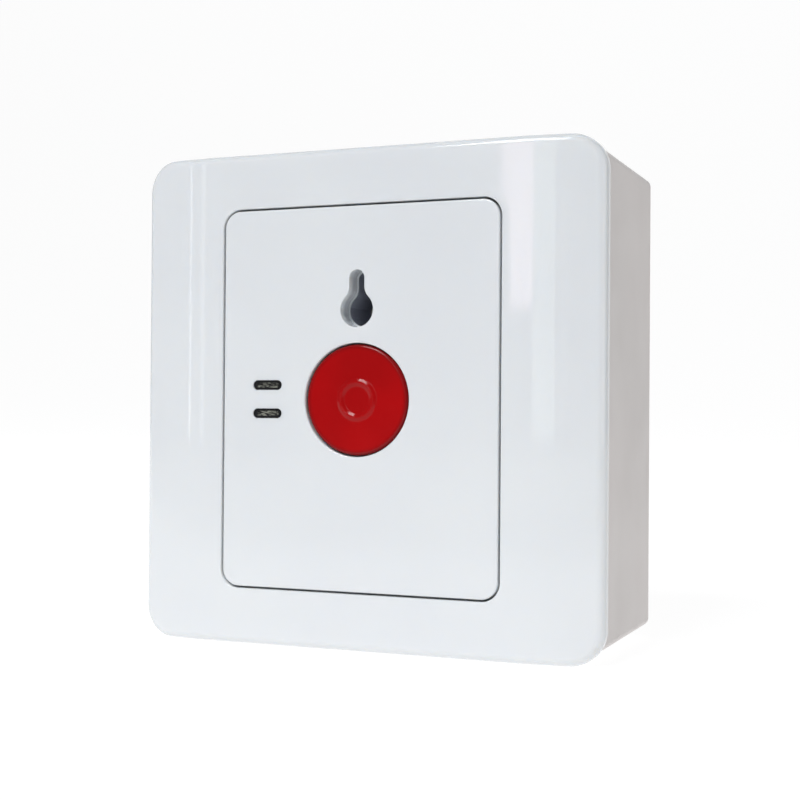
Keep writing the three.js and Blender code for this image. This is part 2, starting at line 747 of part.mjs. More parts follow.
function pushSwitch() {
  const body = block(-switchHalf, switchHalf, buttonCentre - switchHalf, buttonCentre + switchHalf,
    boardTop, switchTop)
  return cut(body, cylinder(0, buttonCentre, plungerRadius + runGap, boardTop + plungerHoleFloor, switchTop + 1, 16))
}

function switchPlunger() {
  const bottom = boardTop + plungerHoleFloor + runGap + travel
  return cylinder(0, buttonCentre, plungerRadius, bottom, stemEnd, 16)
}

function lamp(level) {
  const dome = roundedArc(0, boardTop + ledHeight - ledRadius, ledRadius, 0, Math.PI / 2, 3)
  const profile = [
    [0, boardTop],
    [ledRadius + ledFlange, boardTop],
    [ledRadius + ledFlange, boardTop + 0.8],
    [ledRadius, boardTop + 0.8],
    ...dome.slice(0, -1),
    [0, boardTop + ledHeight],
  ]
  return turned(slotCentreX, level, profile, 12)
}

// A resistor lying over the board on its two bent leads
function resistor(y) {
  const height = boardTop + resistorRadius + runGap
  const half = resistorLength / 2
  const profile = [[-half, 0.7], [-half + 0.9, 1], [-half + 1.6, 0.82], [half - 1.6, 0.82], [half - 0.9, 1], [half, 0.7]]
  const points = [[-half, 0], ...profile.map(([x, share]) => [x, share * resistorRadius]), [half, 0]]
  const geometry = new THREE.LatheGeometry(points.map(([x, radius]) => new THREE.Vector2(radius, x)), 12)
  const place = geometry.attributes.position
  for (let i = 0; i < place.count; i++) {
    place.setXYZ(i, resistorX + place.getY(i), y + place.getX(i), height + place.getZ(i))
  }
  const reach = half + 1.4
  const corner = (x, z) => new THREE.Vector3(resistorX + x, y, z)
  const bend = 0.8
  const route = new THREE.CatmullRomCurve3([
    corner(-reach, boardTop),
    corner(-reach, height - bend),
    corner(-reach + bend, height),
    corner(reach - bend, height),
    corner(reach, height - bend),
    corner(reach, boardTop),
  ], false, 'catmullrom', 0.1)
  const lead = new THREE.ExtrudeGeometry(circleShape(0, 0, leadRadius), {
    steps: 12, extrudePath: route, bevelEnabled: false, curveSegments: 3,
  })
  return joined(toSolid(geometry), toSolid(lead))
}

// Pole places of the terminal block, left to right
const poleAt = (pole) => (pole - (terminalPoles - 1) / 2) * terminalPitch

function terminalBlock() {
  const halfWidth = (terminalPoles * terminalPitch) / 2
  const low = terminalCentre - terminalDepth / 2
  const high = terminalCentre + terminalDepth / 2
  const slope = 1.6
  const profile = [
    [low, boardBack], [low, terminalBack + slope], [low + slope, terminalBack], [high - slope, terminalBack],
    [high, terminalBack + slope], [high, boardBack],
  ]
  const cuts = Array.from({ length: terminalPoles }, (_, pole) => poleAt(pole)).flatMap((x) => [
    cylinder(x, terminalCentre, terminalScrew.head + runGap, terminalBack - 1, terminalLedge, 16),
    cylinder(x, terminalCentre, terminalScrew.shank + runGap, terminalLedge - 1,
      terminalLedge + terminalScrew.length + 1, 12),
    block(x - wireEntry / 2, x + wireEntry / 2, low - 1, low + wireEntryDepth,
      boardBack - wireEntry - 1, boardBack - 1),
  ])
  return cut(extrudedAcross(profile, -halfWidth, halfWidth), ...cuts)
}

function threadedInsert(side) {
  const top = flangeLevel
  return tube((side * screwPitch) / 2, 0, plateScrew.shank + runGap, insertRadius, top - insertLength, top, 16)
}

function buttonSpring() {
  const geometry = wound(buttonSpringRadius, buttonSpringWire, springSeat + 0.05, buttonCeiling - 0.05,
    buttonSpringTurns, 14)
  return toSolid(geometry.translate(0, buttonCentre, 0))
}

function latchSpring() {
  const geometry = wound(latchSpringRadius, latchSpringWire, latchTop + 0.05, latchSpringEnd - 0.05,
    latchSpringTurns, 9)
  const place = geometry.attributes.position
  for (let i = 0; i < place.count; i++) {
    const [x, y, z] = [place.getX(i), place.getY(i), place.getZ(i)]
    place.setXYZ(i, x, z, latchSpringLevel - y)
  }
  return toSolid(geometry)
}

// Stood upright: what was out of the wall now faces -Y
function addPiece(group, name, solid, material) {
  const geometry = toGeometry(solid)
  const place = geometry.attributes.position
  for (let i = 0; i < place.count; i++) {
    place.setXYZ(i, place.getX(i), -place.getZ(i), place.getY(i))
  }
  geometry.computeVertexNormals()
  const mesh = new THREE.Mesh(geometry, material)
  mesh.name = name
  group.add(mesh)
}

const group = new THREE.Group()
addPiece(group, 'back_box', backBox(), boxWhite)
addPiece(group, 'front_frame', frontFrame(), glossWhite)
addPiece(group, 'function_panel', functionPanel(), glossWhite)
addPiece(group, 'push_button', pushButton(), glossRed)
addPiece(group, 'button_spring', buttonSpring(), springSteel)
addPiece(group, 'latch_slide', latchSlide(), latchNylon)
addPiece(group, 'latch_spring', latchSpring(), springSteel)
addPiece(group, 'mechanism_housing', mechanismHousing(), innerGrey)
addPiece(group, 'light_guide', lightGuide(), clearAcrylic)
addPiece(group, 'circuit_board', circuitBoard(), boardGreen)
addPiece(group, 'push_switch', pushSwitch(), switchBlack)
addPiece(group, 'switch_plunger', switchPlunger(), plungerWhite)
addPiece(group, 'terminal_block', terminalBlock(), terminalGreen)

slotLevels.forEach((level, i) => addPiece(group, `led_${i + 1}`, lamp(level), ledRed))
for (const i of [0, 1]) {
  addPiece(group, `resistor_${i + 1}`, resistor(resistorY + i * resistorPitch), resistorTan)
}
for (let pole = 0; pole < terminalPoles; pole++) {
  const fastener = screwFromBehind(poleAt(pole), terminalCentre, terminalLedge, terminalScrew)
  addPiece(group, `terminal_screw_${pole + 1}`, fastener, zincSteel)
}
for (const [i, [sideX, sideY]] of [[-1, 1], [1, 1], [-1, -1], [1, -1]].entries()) {
  const fastener = screwFromBehind(sideX * bossOffsetX, sideY * bossOffsetY, trayLevel, tappingScrew)
  addPiece(group, `housing_screw_${i + 1}`, fastener, zincSteel)
}
for (const [i, side] of [-1, 1].entries()) {
  const boardFastener = screwFromBehind(side * boardPostX, side * boardPostY, boardBack, boardScrew)
  addPiece(group, `board_screw_${i + 1}`, boardFastener, zincSteel)
  addPiece(group, `plate_screw_${i + 1}`, screw((side * screwPitch) / 2, 0, flangeTop, plateScrew), zincSteel)
  addPiece(group, `post_insert_${i + 1}`, threadedInsert(side), turnedBrass)
}

export default group
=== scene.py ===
"""Looks of a wall-mounted emergency call button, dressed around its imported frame.

Every new piece is drawn in millimetres, lying face up with X to the right, Y up the wall
and Z out of the wall, and is then stood upright and turned to metres in its own mesh.
"""

from __future__ import annotations

import logging
import math
from collections.abc import Callable, Sequence
from dataclasses import dataclass
from enum import Enum

import bmesh
import bpy
from mathutils import Matrix, Vector

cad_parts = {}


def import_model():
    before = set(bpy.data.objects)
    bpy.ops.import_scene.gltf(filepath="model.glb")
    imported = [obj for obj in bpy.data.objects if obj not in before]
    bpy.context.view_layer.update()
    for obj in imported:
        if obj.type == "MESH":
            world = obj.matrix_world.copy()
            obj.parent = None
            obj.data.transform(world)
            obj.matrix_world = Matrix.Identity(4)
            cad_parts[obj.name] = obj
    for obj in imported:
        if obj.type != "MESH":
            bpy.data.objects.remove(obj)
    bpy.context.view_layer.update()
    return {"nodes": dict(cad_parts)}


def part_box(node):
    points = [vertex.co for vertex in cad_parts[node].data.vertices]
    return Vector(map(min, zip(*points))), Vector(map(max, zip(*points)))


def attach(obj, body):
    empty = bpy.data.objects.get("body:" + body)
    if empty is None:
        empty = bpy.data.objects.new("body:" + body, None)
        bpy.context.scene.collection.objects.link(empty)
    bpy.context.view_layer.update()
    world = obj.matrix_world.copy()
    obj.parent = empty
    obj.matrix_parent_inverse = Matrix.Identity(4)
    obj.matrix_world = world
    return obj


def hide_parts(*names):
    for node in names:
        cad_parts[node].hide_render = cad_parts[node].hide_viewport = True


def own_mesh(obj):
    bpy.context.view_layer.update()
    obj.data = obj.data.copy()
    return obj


LOG = logging.getLogger("call_button")
MM = 0.001
STAND_UP = Matrix.Rotation(math.pi / 2, 4, "X") @ Matrix.Scale(MM, 4)

# Sizes and fits in millimetres that pieces share
SEAM_GAP = 0.3
OPENING_GAP = 0.35
PANEL_WALL = 2.0
FLANGE_THICKNESS = 1.6
SCREW_HALF_PITCH = 30.15
HOOK_OFFSET = 14.0
HOOK_WIDTH = 5.0
HOOK_ARM = 1.2
BOX_TAPER = 0.5

# How far a cutting shape reaches past what it cuts, and how close corners count as one
OVERSHOOT = 1.0
WELD = 1e-4
# A slot's ends are rounded by this much less than half its height, so the arcs stay apart
END_SHY = 0.02
SHARP_DEGREES = 35.0

# What the studio lights turn to, in metres
OBJECT_MIDDLE = (0.0, -0.04, 0.0)

Point = tuple[float, float]
Colour = tuple[float, float, float, float]
Mesh = bmesh.types.BMesh
Vert = bmesh.types.BMVert
Edge = bmesh.types.BMEdge
Tree = bpy.types.NodeTree
Node = bpy.types.Node
Socket = bpy.types.NodeSocket
Material = bpy.types.Material


class Body(Enum):
    """The rigid bodies of the frame that a piece can ride on."""

    HOUSING = "housing"
    BUTTON = "button"
    LATCH = "latch"


def linear(hex_code: str) -> Colour:
    """Turns an sRGB hex value to linear light.

    Args:
        hex_code: Six hex digits, red first.

    Returns:
        Linear red, green, blue and an alpha of one.
    """
    parts = [int(hex_code[i : i + 2], 16) / 255 for i in (0, 2, 4)]
    low = [part / 12.92 if part <= 0.04045 else ((part + 0.055) / 1.055) ** 2.4 for part in parts]
    return (low[0], low[1], low[2], 1.0)


def per_metre(size_mm: float) -> float:
    """Gives the texture scale, in cells per metre, of a pattern that repeats every size_mm."""
    return 1 / (size_mm * MM)


def add_node(
    tree: Tree,
    kind: str,
    settings: dict[str | int, object] | None = None,
    links: dict[str | int, Socket] | None = None,
) -> Node:
    """Adds a shader node with its settings and its incoming links.

    Args:
        tree: The material's node tree.
        kind: The node's type name.
        settings: Socket names or numbers, or node properties, with their values.
        links: Socket names or numbers, with the output that feeds each.

    Returns:
        The new node.
    """
    node = tree.nodes.new(kind)
    for key, value in (settings or {}).items():
        if isinstance(key, int) or key in node.inputs:
            node.inputs[key].default_value = value
        else:
            setattr(node, key, value)
    for key, source in (links or {}).items():
        tree.links.new(source, node.inputs[key])
    return node


def start_material(name: str) -> tuple[Material, Tree]:
    """Makes an empty node material and returns it with its tree."""
    material = bpy.data.materials.new(name)
    material.use_nodes = True
    material.node_tree.nodes.clear()
    return material, material.node_tree


def placed(tree: Tree, mapping: dict[str | int, object] | None = None) -> Socket:
    """Gives Object coordinates, moved, turned or stretched by a mapping if there is one."""
    place = add_node(tree, "ShaderNodeTexCoord").outputs["Object"]
    if mapping is None:
        return place
    return add_node(tree, "ShaderNodeMapping", mapping, {"Vector": place}).outputs["Vector"]


def noise(tree: Tree, size_mm: float, detail: float = 2.0) -> Socket:
    """Adds a noise pattern on Object coordinates whose blotches are size_mm across."""
    settings = {"Scale": per_metre(size_mm), "Detail": detail, "Roughness": 0.5}
    return add_node(tree, "ShaderNodeTexNoise", settings, {"Vector": placed(tree)}).outputs["Fac"]


def remap(
    tree: Tree,
    source: Socket,
    spread: Point = (0.0, 1.0),
    band: Point = (0.3, 0.7),
    interpolation: str = "LINEAR",
) -> Socket:
    """Maps a band of a pattern onto a spread of values.

    Args:
        tree: The material's node tree.
        source: The pattern.
        spread: The values at the two ends of the band.
        band: The part of the pattern's range that counts, the middle of a noise by default.
        interpolation: How the values run from one end to the other.

    Returns:
        The mapped output.
    """
    settings = {
        "From Min": band[0],
        "From Max": band[1],
        "To Min": spread[0],
        "To Max": spread[1],
        "interpolation_type": interpolation,
    }
    return add_node(tree, "ShaderNodeMapRange", settings, {"Value": source}).outputs["Result"]


def mix_colours(tree: Tree, factor: Socket, first: str | Socket, second: str) -> Socket:
    """Mixes a hex colour or a colour output with a hex colour by a pattern."""
    settings = {"data_type": "RGBA", 7: linear(second)}
    links = {0: factor}
    if isinstance(first, str):
        settings[6] = linear(first)
    else:
        links[6] = first
    return add_node(tree, "ShaderNodeMix", settings, links).outputs[2]


def bump(tree: Tree, height: Socket, depth_mm: float, below: Socket | None = None) -> Socket:
    """Raises the surface by depth_mm where a pattern is high and returns the normal."""
    links = {"Height": height} if below is None else {"Height": height, "Normal": below}
    settings = {"Strength": 1.0, "Distance": depth_mm * MM}
    return add_node(tree, "ShaderNodeBump", settings, links).outputs["Normal"]


def surfaced(
    material: Material, settings: dict[str | int, object], links: dict[str | int, Socket]
) -> Material:
    """Ends a material in one shader with its output and returns the material."""
    tree = material.node_tree
    shader = add_node(tree, "ShaderNodeBsdfPrincipled", settings, links)
    add_node(tree, "ShaderNodeOutputMaterial", None, {"Surface": shader.outputs["BSDF"]})
    return material


@dataclass(frozen=True)
class MouldedPlastic:
    """Injection-moulded plastic: faint flow mottling, a soft sink ripple and a mould texture."""

    name: str
    colour: str
    shade: str
    roughness: float
    mottle_mm: float = 30.0
    ripple_mm: float = 14.0
    ripple_depth_mm: float = 0.004
    grain_mm: float = 0.5
    grain_depth_mm: float = 0.0
    scatter: float = 0.0
    scatter_mm: float = 1.0
    specular: float = 0.5

    def build(self) -> Material:
        """Builds the material's nodes and returns the material."""
        material, tree = start_material(self.name)
        mottled = remap(tree, noise(tree, self.mottle_mm))
        colour = self.with_painted_shade(tree, mix_colours(tree, mottled, self.colour, self.shade))
        change = self.roughness * 0.12
        polish = noise(tree, self.mottle_mm / 3)
        gloss = remap(tree, polish, (self.roughness - change, self.roughness + change))
        normal = bump(tree, noise(tree, self.ripple_mm, 1.0), self.ripple_depth_mm)
        if self.grain_depth_mm:
            normal = bump(tree, noise(tree, self.grain_mm, 3.0), self.grain_depth_mm, normal)
        settings = {
            "IOR": 1.5,
            "Subsurface Weight": self.scatter,
            "Subsurface Radius": (1.0, 0.9, 0.8),
            "Subsurface Scale": self.scatter_mm * MM,
            "Specular IOR Level": self.specular,
        }
        links = {"Base Color": colour, "Roughness": gloss, "Normal": normal}
        return surfaced(material, settings, links)

    def with_painted_shade(self, tree: Tree, colour: Socket) -> Socket:
        """Leaves the colour as it is; a plastic with painted shade changes it here."""
        return colour


@dataclass(frozen=True)
class PaintedRimShadePlastic(MouldedPlastic):
    """Tinted plastic in a round cap, with painted shade darkening its colour where the wall turns
    down at the rim.
    """

    # Painted shade at the rim: its dark red, and the radii where it begins and where it is full
    painted_shade_colour: str = "80060B"
    painted_shade_from_mm: float = 8.3
    painted_shade_to_mm: float = 9.4
    centre_mm: Point = (0.0, -0.2)

    def with_painted_shade(self, tree: Tree, colour: Socket) -> Socket:
        """Paints shade that darkens the colour towards the rim, and returns the colour."""
        centre = (-self.centre_mm[0] * MM, 0, -self.centre_mm[1] * MM)
        across = placed(tree, {"Location": centre, "Scale": (1, 0, 1)})
        radius = add_node(tree, "ShaderNodeVectorMath", {"operation": "LENGTH"}, {0: across})
        band = (self.painted_shade_from_mm * MM, self.painted_shade_to_mm * MM)
        # Painted shade: the colour blends towards the dark rim red between those radii
        rim = remap(tree, radius.outputs["Value"], band=band, interpolation="SMOOTHSTEP")
        return mix_colours(tree, rim, colour, self.painted_shade_colour)


@dataclass(frozen=True)
class FinishedMetal:
    """Plated, drawn or turned metal: tone varies in patches, and fine marks break the shine."""

    name: str
    colour: str
    shade: str
    roughness: float
    mark_mm: float = 0.35
    mark_depth_mm: float = 0.004

    def build(self) -> Material:
        """Builds the material's nodes and returns the material."""
        material, tree = start_material(self.name)
        patches = noise(tree, self.mark_mm * 8)
        colour = mix_colours(tree, remap(tree, patches), self.colour, self.shade)
        gloss = remap(tree, patches, (self.roughness * 0.8, self.roughness * 1.2))
        normal = bump(tree, noise(tree, self.mark_mm, 4.0), self.mark_depth_mm)
        links = {"Base Color": colour, "Roughness": gloss, "Normal": normal}
        return surfaced(material, {"Metallic": 1.0}, links)


@dataclass(frozen=True)
class MaskedLaminate:
    """Solder-masked glass laminate: copper tracks show through the mask as paler, raised lines."""

    name: str
    mask: str = "1d5a38"
    track: str = "276B43"
    track_mm: float = 2.54
    copper_mm: float = 0.035

    def build(self) -> Material:
        """Builds the material's nodes and returns the material."""
        material, tree = start_material(self.name)
        upright = placed(tree, {"Rotation": (math.pi / 2, 0, 0)})
        settings = {
            "Scale": per_metre(self.track_mm) / 4,
            "Mortar Size": 0.06,
            "Mortar Smooth": 0.3,
            "Brick Width": 5.0,
            "Row Height": 0.42,
            "Color1": linear(self.mask),
            "Color2": linear(self.mask),
            "Mortar": linear(self.track),
        }
        tracks = add_node(tree, "ShaderNodeTexBrick", settings, {"Vector": upright})
        normal = bump(tree, tracks.outputs["Fac"], self.copper_mm)
        links = {"Base Color": tracks.outputs["Color"], "Normal": normal}
        return surfaced(material, {"Roughness": 0.35, "IOR": 1.5}, links)


@dataclass(frozen=True)
class SmokedWindow:
    """Cast clear epoxy over a lamp chip, unlit: dark olive with pale streaks and lumps inside."""

    name: str
    deep: str = "060706"
    pale: str = "84857A"
    streak_mm: float = 0.9
    lump_mm: float = 0.08

    def build(self) -> Material:
        """Builds the material's nodes and returns the material."""
        material, tree = start_material(self.name)
        stretched = placed(tree, {"Scale": (0.7, 1.0, 2.2)})
        settings = {"Scale": per_metre(self.streak_mm), "Detail": 4.0, "Distortion": 1.2}
        lumps = add_node(tree, "ShaderNodeTexNoise", settings, {"Vector": stretched}).outputs["Fac"]
        colour = mix_colours(tree, remap(tree, lumps, band=(0.42, 0.62)), self.deep, self.pale)
        links = {"Base Color": colour, "Normal": bump(tree, lumps, self.lump_mm)}
        return surfaced(material, {"Roughness": 0.18, "IOR": 1.52}, links)


# High-gloss ABS: a cool white with a mirror-like skin, through which light softens the holes
COVER_WHITE = MouldedPlastic(
    "high_gloss_abs", "E2E5E7", "DFE2E5", 0.05, ripple_depth_mm=0.006, scatter=0.5, scatter_mm=1.6
)
# Satin ABS of the box: a slightly warmer white whose spark-eroded grain dulls the shine
BOX_WHITE = MouldedPlastic(
    "satin_abs", "D4CECC", "CFCAC8", 0.42, grain_mm=0.45, grain_depth_mm=0.012
)
# Tinted ABS of the button: deep red, with painted shade that darkens it towards the rim
BUTTON_RED = PaintedRimShadePlastic(
    "tinted_red_abs", "AC070B", "9E0609", 0.12, mottle_mm=12.0, ripple_mm=6.0, specular=0.2
)
# Grey nylon of the mechanism, straight from the mould
MECHANISM_GREY = MouldedPlastic(
    "grey_nylon", "A6AAB6", "9A9EAA", 0.5, grain_mm=0.4, grain_depth_mm=0.01
)
# Natural acetal of the slide: waxy, off-white
LATCH_ACETAL = MouldedPlastic("natural_acetal", "D9D5C7", "D0CBBB", 0.45, scatter=0.15)
# Black phenolic of the switch body
SWITCH_BLACK = MouldedPlastic("black_phenolic", "1E1F21", "18191B", 0.45, grain_depth_mm=0.008)
# White acetal of the switch pin
PIN_WHITE = MouldedPlastic("white_acetal", "E6E6E0", "DEDED7", 0.4, scatter=0.1)
# Green polyamide of the terminal block
TERMINAL_GREEN = MouldedPlastic("green_polyamide", "2F7D4C", "296F43", 0.42, grain_depth_mm=0.008)
# Red epoxy of the lamps
LAMP_RED = MouldedPlastic("red_epoxy", "9A3A34", "8C302B", 0.15, scatter=0.3)
# Lacquered ceramic of the resistors
RESISTOR_TAN = MouldedPlastic("lacquered_ceramic", "B99F74", "A88D62", 0.4)
# Dark moulding of the light guide, black from outside while the lamps are off
GUIDE_BLACK = MouldedPlastic("smoked_acrylic", "0C0D0F", "131416", 0.2)
# Drawn steel wire of the springs
SPRING_STEEL = FinishedMetal("drawn_spring_wire", "A9ADB2", "8F949A", 0.3)
# Zinc plating of the screws
ZINC_STEEL = FinishedMetal("zinc_plated_steel", "C3C6CA", "A9ADB3", 0.34)
# Turned brass of the threaded inserts
TURNED_BRASS = FinishedMetal("turned_brass", "C79F52", "B48A3E", 0.3)
# Green solder mask of the circuit board
BOARD = MaskedLaminate("solder_masked_laminate")
# Clear epoxy of the lamp windows, seen unlit
LAMP_WINDOW = SmokedWindow("unlit_lamp_window")


def outline(
    bm: Mesh,
    half_x: float,
    half_y: float,
    radius: float,
    level: float,
    centre: Point = (0.0, 0.0),
    steps: int = 12,
) -> list[Edge]:
    """Adds a rounded rectangle as a closed loop: a circle whose quarters are moved apart.

    Args:
        bm: The mesh that gets the loop.
        half_x: Half the width.
        half_y: Half the height.
        radius: The corner radius.
        level: The height of the loop.
        centre: The middle of the rectangle.
        steps: Edges in each corner.

    Returns:
        The loop's edges.
    """
    sides = 4 * steps
    turn = Matrix.Rotation(math.pi / sides, 4, "Z")
    made = bmesh.ops.create_circle(bm, cap_ends=False, radius=radius, segments=sides, matrix=turn)
    for vert in made["verts"]:
        vert.co.x += math.copysign(half_x - radius, vert.co.x) + centre[0]
        vert.co.y += math.copysign(half_y - radius, vert.co.y) + centre[1]
        vert.co.z = level
    return list(dict.fromkeys(edge for vert in made["verts"] for edge in vert.link_edges))


def sweep(bm: Mesh, start: Vert, centre: Point, angle: float, steps: int) -> Vert:
    """Spins one corner round a centre into an arc of edges and returns the arc's last corner."""
    made = bmesh.ops.spin(
        bm,
        geom=[start],
        cent=(centre[0], centre[1], start.co.z),
        axis=(0, 0, 1),
        angle=angle,
        steps=steps,
    )
    return next(item for item in made["geom_last"] if isinstance(item, Vert))


def prism(bm: Mesh, edges: Sequence[Edge], height: float) -> None:
    """Fills a closed loop and extrudes it by height into a closed block."""
    filled = bmesh.ops.contextual_create(bm, geom=list(edges))
    raised = bmesh.ops.extrude_face_region(bm, geom=filled["faces"], use_keep_orig=True)
    verts = [item for item in raised["geom"] if isinstance(item, Vert)]
    bmesh.ops.translate(bm, vec=(0, 0, height), verts=verts)
    bmesh.ops.recalc_face_normals(bm, faces=bm.faces)


def bridged(bm: Mesh, *loops: Sequence[Edge]) -> None:
    """Joins each loop to the next one with a wall."""
    for lower, upper in zip(loops, loops[1:]):
        bmesh.ops.bridge_loops(bm, edges=[*lower, *upper])


def closed(bm: Mesh, lower: Sequence[Edge], upper: Sequence[Edge]) -> None:
    """Joins two loops with a wall and fills both ends."""
    bridged(bm, lower, upper)
    for loop in (lower, upper):
        bmesh.ops.contextual_create(bm, geom=loop)
    bmesh.ops.recalc_face_normals(bm, faces=bm.faces)


def rounded_edges(bm: Mesh, edges: Sequence[Edge], offset: float, segments: int) -> None:
    """Rounds the given edges."""
    bmesh.ops.bevel(
        bm,
        geom=list(edges),
        offset=offset,
        offset_type="OFFSET",
        segments=segments,
        profile=0.5,
        affect="EDGES",
        material=-1,
        clamp_overlap=True,
    )


def block(bm: Mesh, low: Sequence[float], high: Sequence[float]) -> None:
    """Adds a box from its low corner to its high corner."""
    size = [upper - lower for lower, upper in zip(low, high)]
    middle = [(upper + lower) / 2 for lower, upper in zip(low, high)]
    matrix = Matrix.Translation(middle) @ Matrix.Diagonal((*size, 1))
    bmesh.ops.create_cube(bm, size=1, matrix=matrix)


def cylinder(
    bm: Mesh, centre: Point, radius: float, low: float, high: float, segments: int
) -> None:
    """Adds a closed cylinder along Z."""
    matrix = Matrix.Translation((centre[0], centre[1], (low + high) / 2))
    bmesh.ops.create_cone(
        bm,
        cap_ends=True,
        segments=segments,
        radius1=radius,
        radius2=radius,
        depth=high - low,
        matrix=matrix,
    )


def turned(bm: Mesh, centre: Point, profile: Sequence[Point], steps: int) -> None:
    """Spins a profile of radius and height all the way round a line along Z."""
    verts = [bm.verts.new((centre[0] + radius, centre[1], height)) for radius, height in profile]
    edges = [bm.edges.new(pair) for pair in zip(verts, verts[1:])]
    bmesh.ops.spin(
        bm,
        geom=[*verts, *edges],
        cent=(*centre, 0),
        axis=(0, 0, 1),
        angle=math.tau,
        steps=steps,
        use_merge=True,
    )
    bmesh.ops.remove_doubles(bm, verts=bm.verts, dist=WELD)
    bmesh.ops.recalc_face_normals(bm, faces=bm.faces)


def absorb(bm: Mesh, other: Mesh) -> None:
    """Copies another mesh into this one and frees it."""
    mesh = bpy.data.meshes.new("working_shape")
    other.to_mesh(mesh)
    other.free()
    bm.from_mesh(mesh)
    bpy.data.meshes.remove(mesh)


def arc(centre: Point, radius: float, start: float, end: float, steps: int) -> list[Point]:
    """Gives points on an arc, with its angles in degrees."""
    angles = [math.radians(start + (end - start) * i / steps) for i in range(steps + 1)]
    return [(centre[0] + radius * math.cos(a), centre[1] + radius * math.sin(a)) for a in angles]


def loose_object(name: str, bm: Mesh) -> bpy.types.Object:
    """Turns a mesh in the making into an object in the scene."""
    mesh = bpy.data.meshes.new(name)
    bm.to_mesh(mesh)
    bm.free()
    made = bpy.data.objects.new(name, mesh)
    bpy.context.scene.collection.objects.link(made)
    return made


def shaped(draw: Callable[[Mesh], None]) -> bpy.types.Object:
    """Makes a working object from a function that draws into a mesh."""
    bm = bmesh.new()
    draw(bm)
    return loose_object("working_shape", bm)


def carved(
    body: bpy.types.Object, joins: Sequence[bpy.types.Object], cuts: Sequence[bpy.types.Object]
) -> Mesh:
    """Joins shapes to a body, cuts others out of it and returns the result as a bmesh.

    Args:
        body: The starting shape.
        joins: Shapes to add.
        cuts: Shapes to take away.

    Returns:
        The carved mesh. All the working objects are removed.
    """
    for operation, tools in (("UNION", joins), ("DIFFERENCE", cuts)):
        for tool in tools:
            modifier = body.modifiers.new(operation.lower(), "BOOLEAN")
            modifier.operation = operation
            modifier.solver = "EXACT"
            modifier.object = tool
    bpy.context.view_layer.update()
    evaluated = body.evaluated_get(bpy.context.evaluated_depsgraph_get())
    bm = bmesh.new()
    bm.from_mesh(evaluated.to_mesh())
    evaluated.to_mesh_clear()
    for spent in (body, *joins, *cuts):
        mesh = spent.data
        bpy.data.objects.remove(spent)
        bpy.data.meshes.remove(mesh)
    bmesh.ops.remove_doubles(bm, verts=bm.verts, dist=WELD)
    return bm


@dataclass(frozen=True)
class Placement:
    """What a finished piece rides on, what it stands for, and the name of a slot for its finish."""

    body: Body
    slot: str
    nodes: tuple[str, ...] = ()


def finished(
    name: str,
    bm: Mesh,
    material: Material,
    placement: Placement,
) -> bpy.types.Object:
    """Stands a drawn mesh upright, shades it, dresses it and ties it to the frame.

    Args:
        name: The piece's name.
        bm: The mesh, in millimetres and lying face up.
        material: Its finish.
        placement: Its body, material slot and the nodes that it replaces.

    Returns:
        The finished object.
    """
    bm.transform(STAND_UP)
    piece = loose_object(name, bm)
    piece.data.shade_smooth()
    piece.data.set_sharp_from_angle(angle=math.radians(SHARP_DEGREES))
    weighted = piece.modifiers.new("weighted_normals", "WEIGHTED_NORMAL")
    weighted.keep_sharp = True
    weighted.weight = 100
    piece.data.materials.append(material)
    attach(piece, placement.body.value)
    if placement.nodes:
        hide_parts(*placement.nodes)
    LOG.info("%s: %d faces on %s", name, len(piece.data.polygons), placement.body.value)
    return piece


@dataclass(frozen=True)
class Levels:
    """Heights above the wall in millimetres, read from the frame's own pieces."""

    frame_back: float
    front: float
    box_front: float
    flange_back: float
    panel_inside: float
    guide_back: float
    stem_end: float
    latch: float

    @classmethod
    def read(cls) -> Levels:
        """Reads the levels from the nodes' boxes."""
        front = -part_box("function_panel")[0].y / MM
        box_front = -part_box("back_box")[0].y / MM
        insert_top = -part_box("post_insert_1")[0].y / MM
        return cls(
            frame_back=box_front + SEAM_GAP,
            front=front,
            box_front=box_front,
            flange_back=insert_top,
            panel_inside=front - PANEL_WALL,
            guide_back=-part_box("light_guide")[1].y / MM,
            stem_end=-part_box("push_button")[1].y / MM,
            latch=-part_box("latch_slide")[1].y / MM,
        )


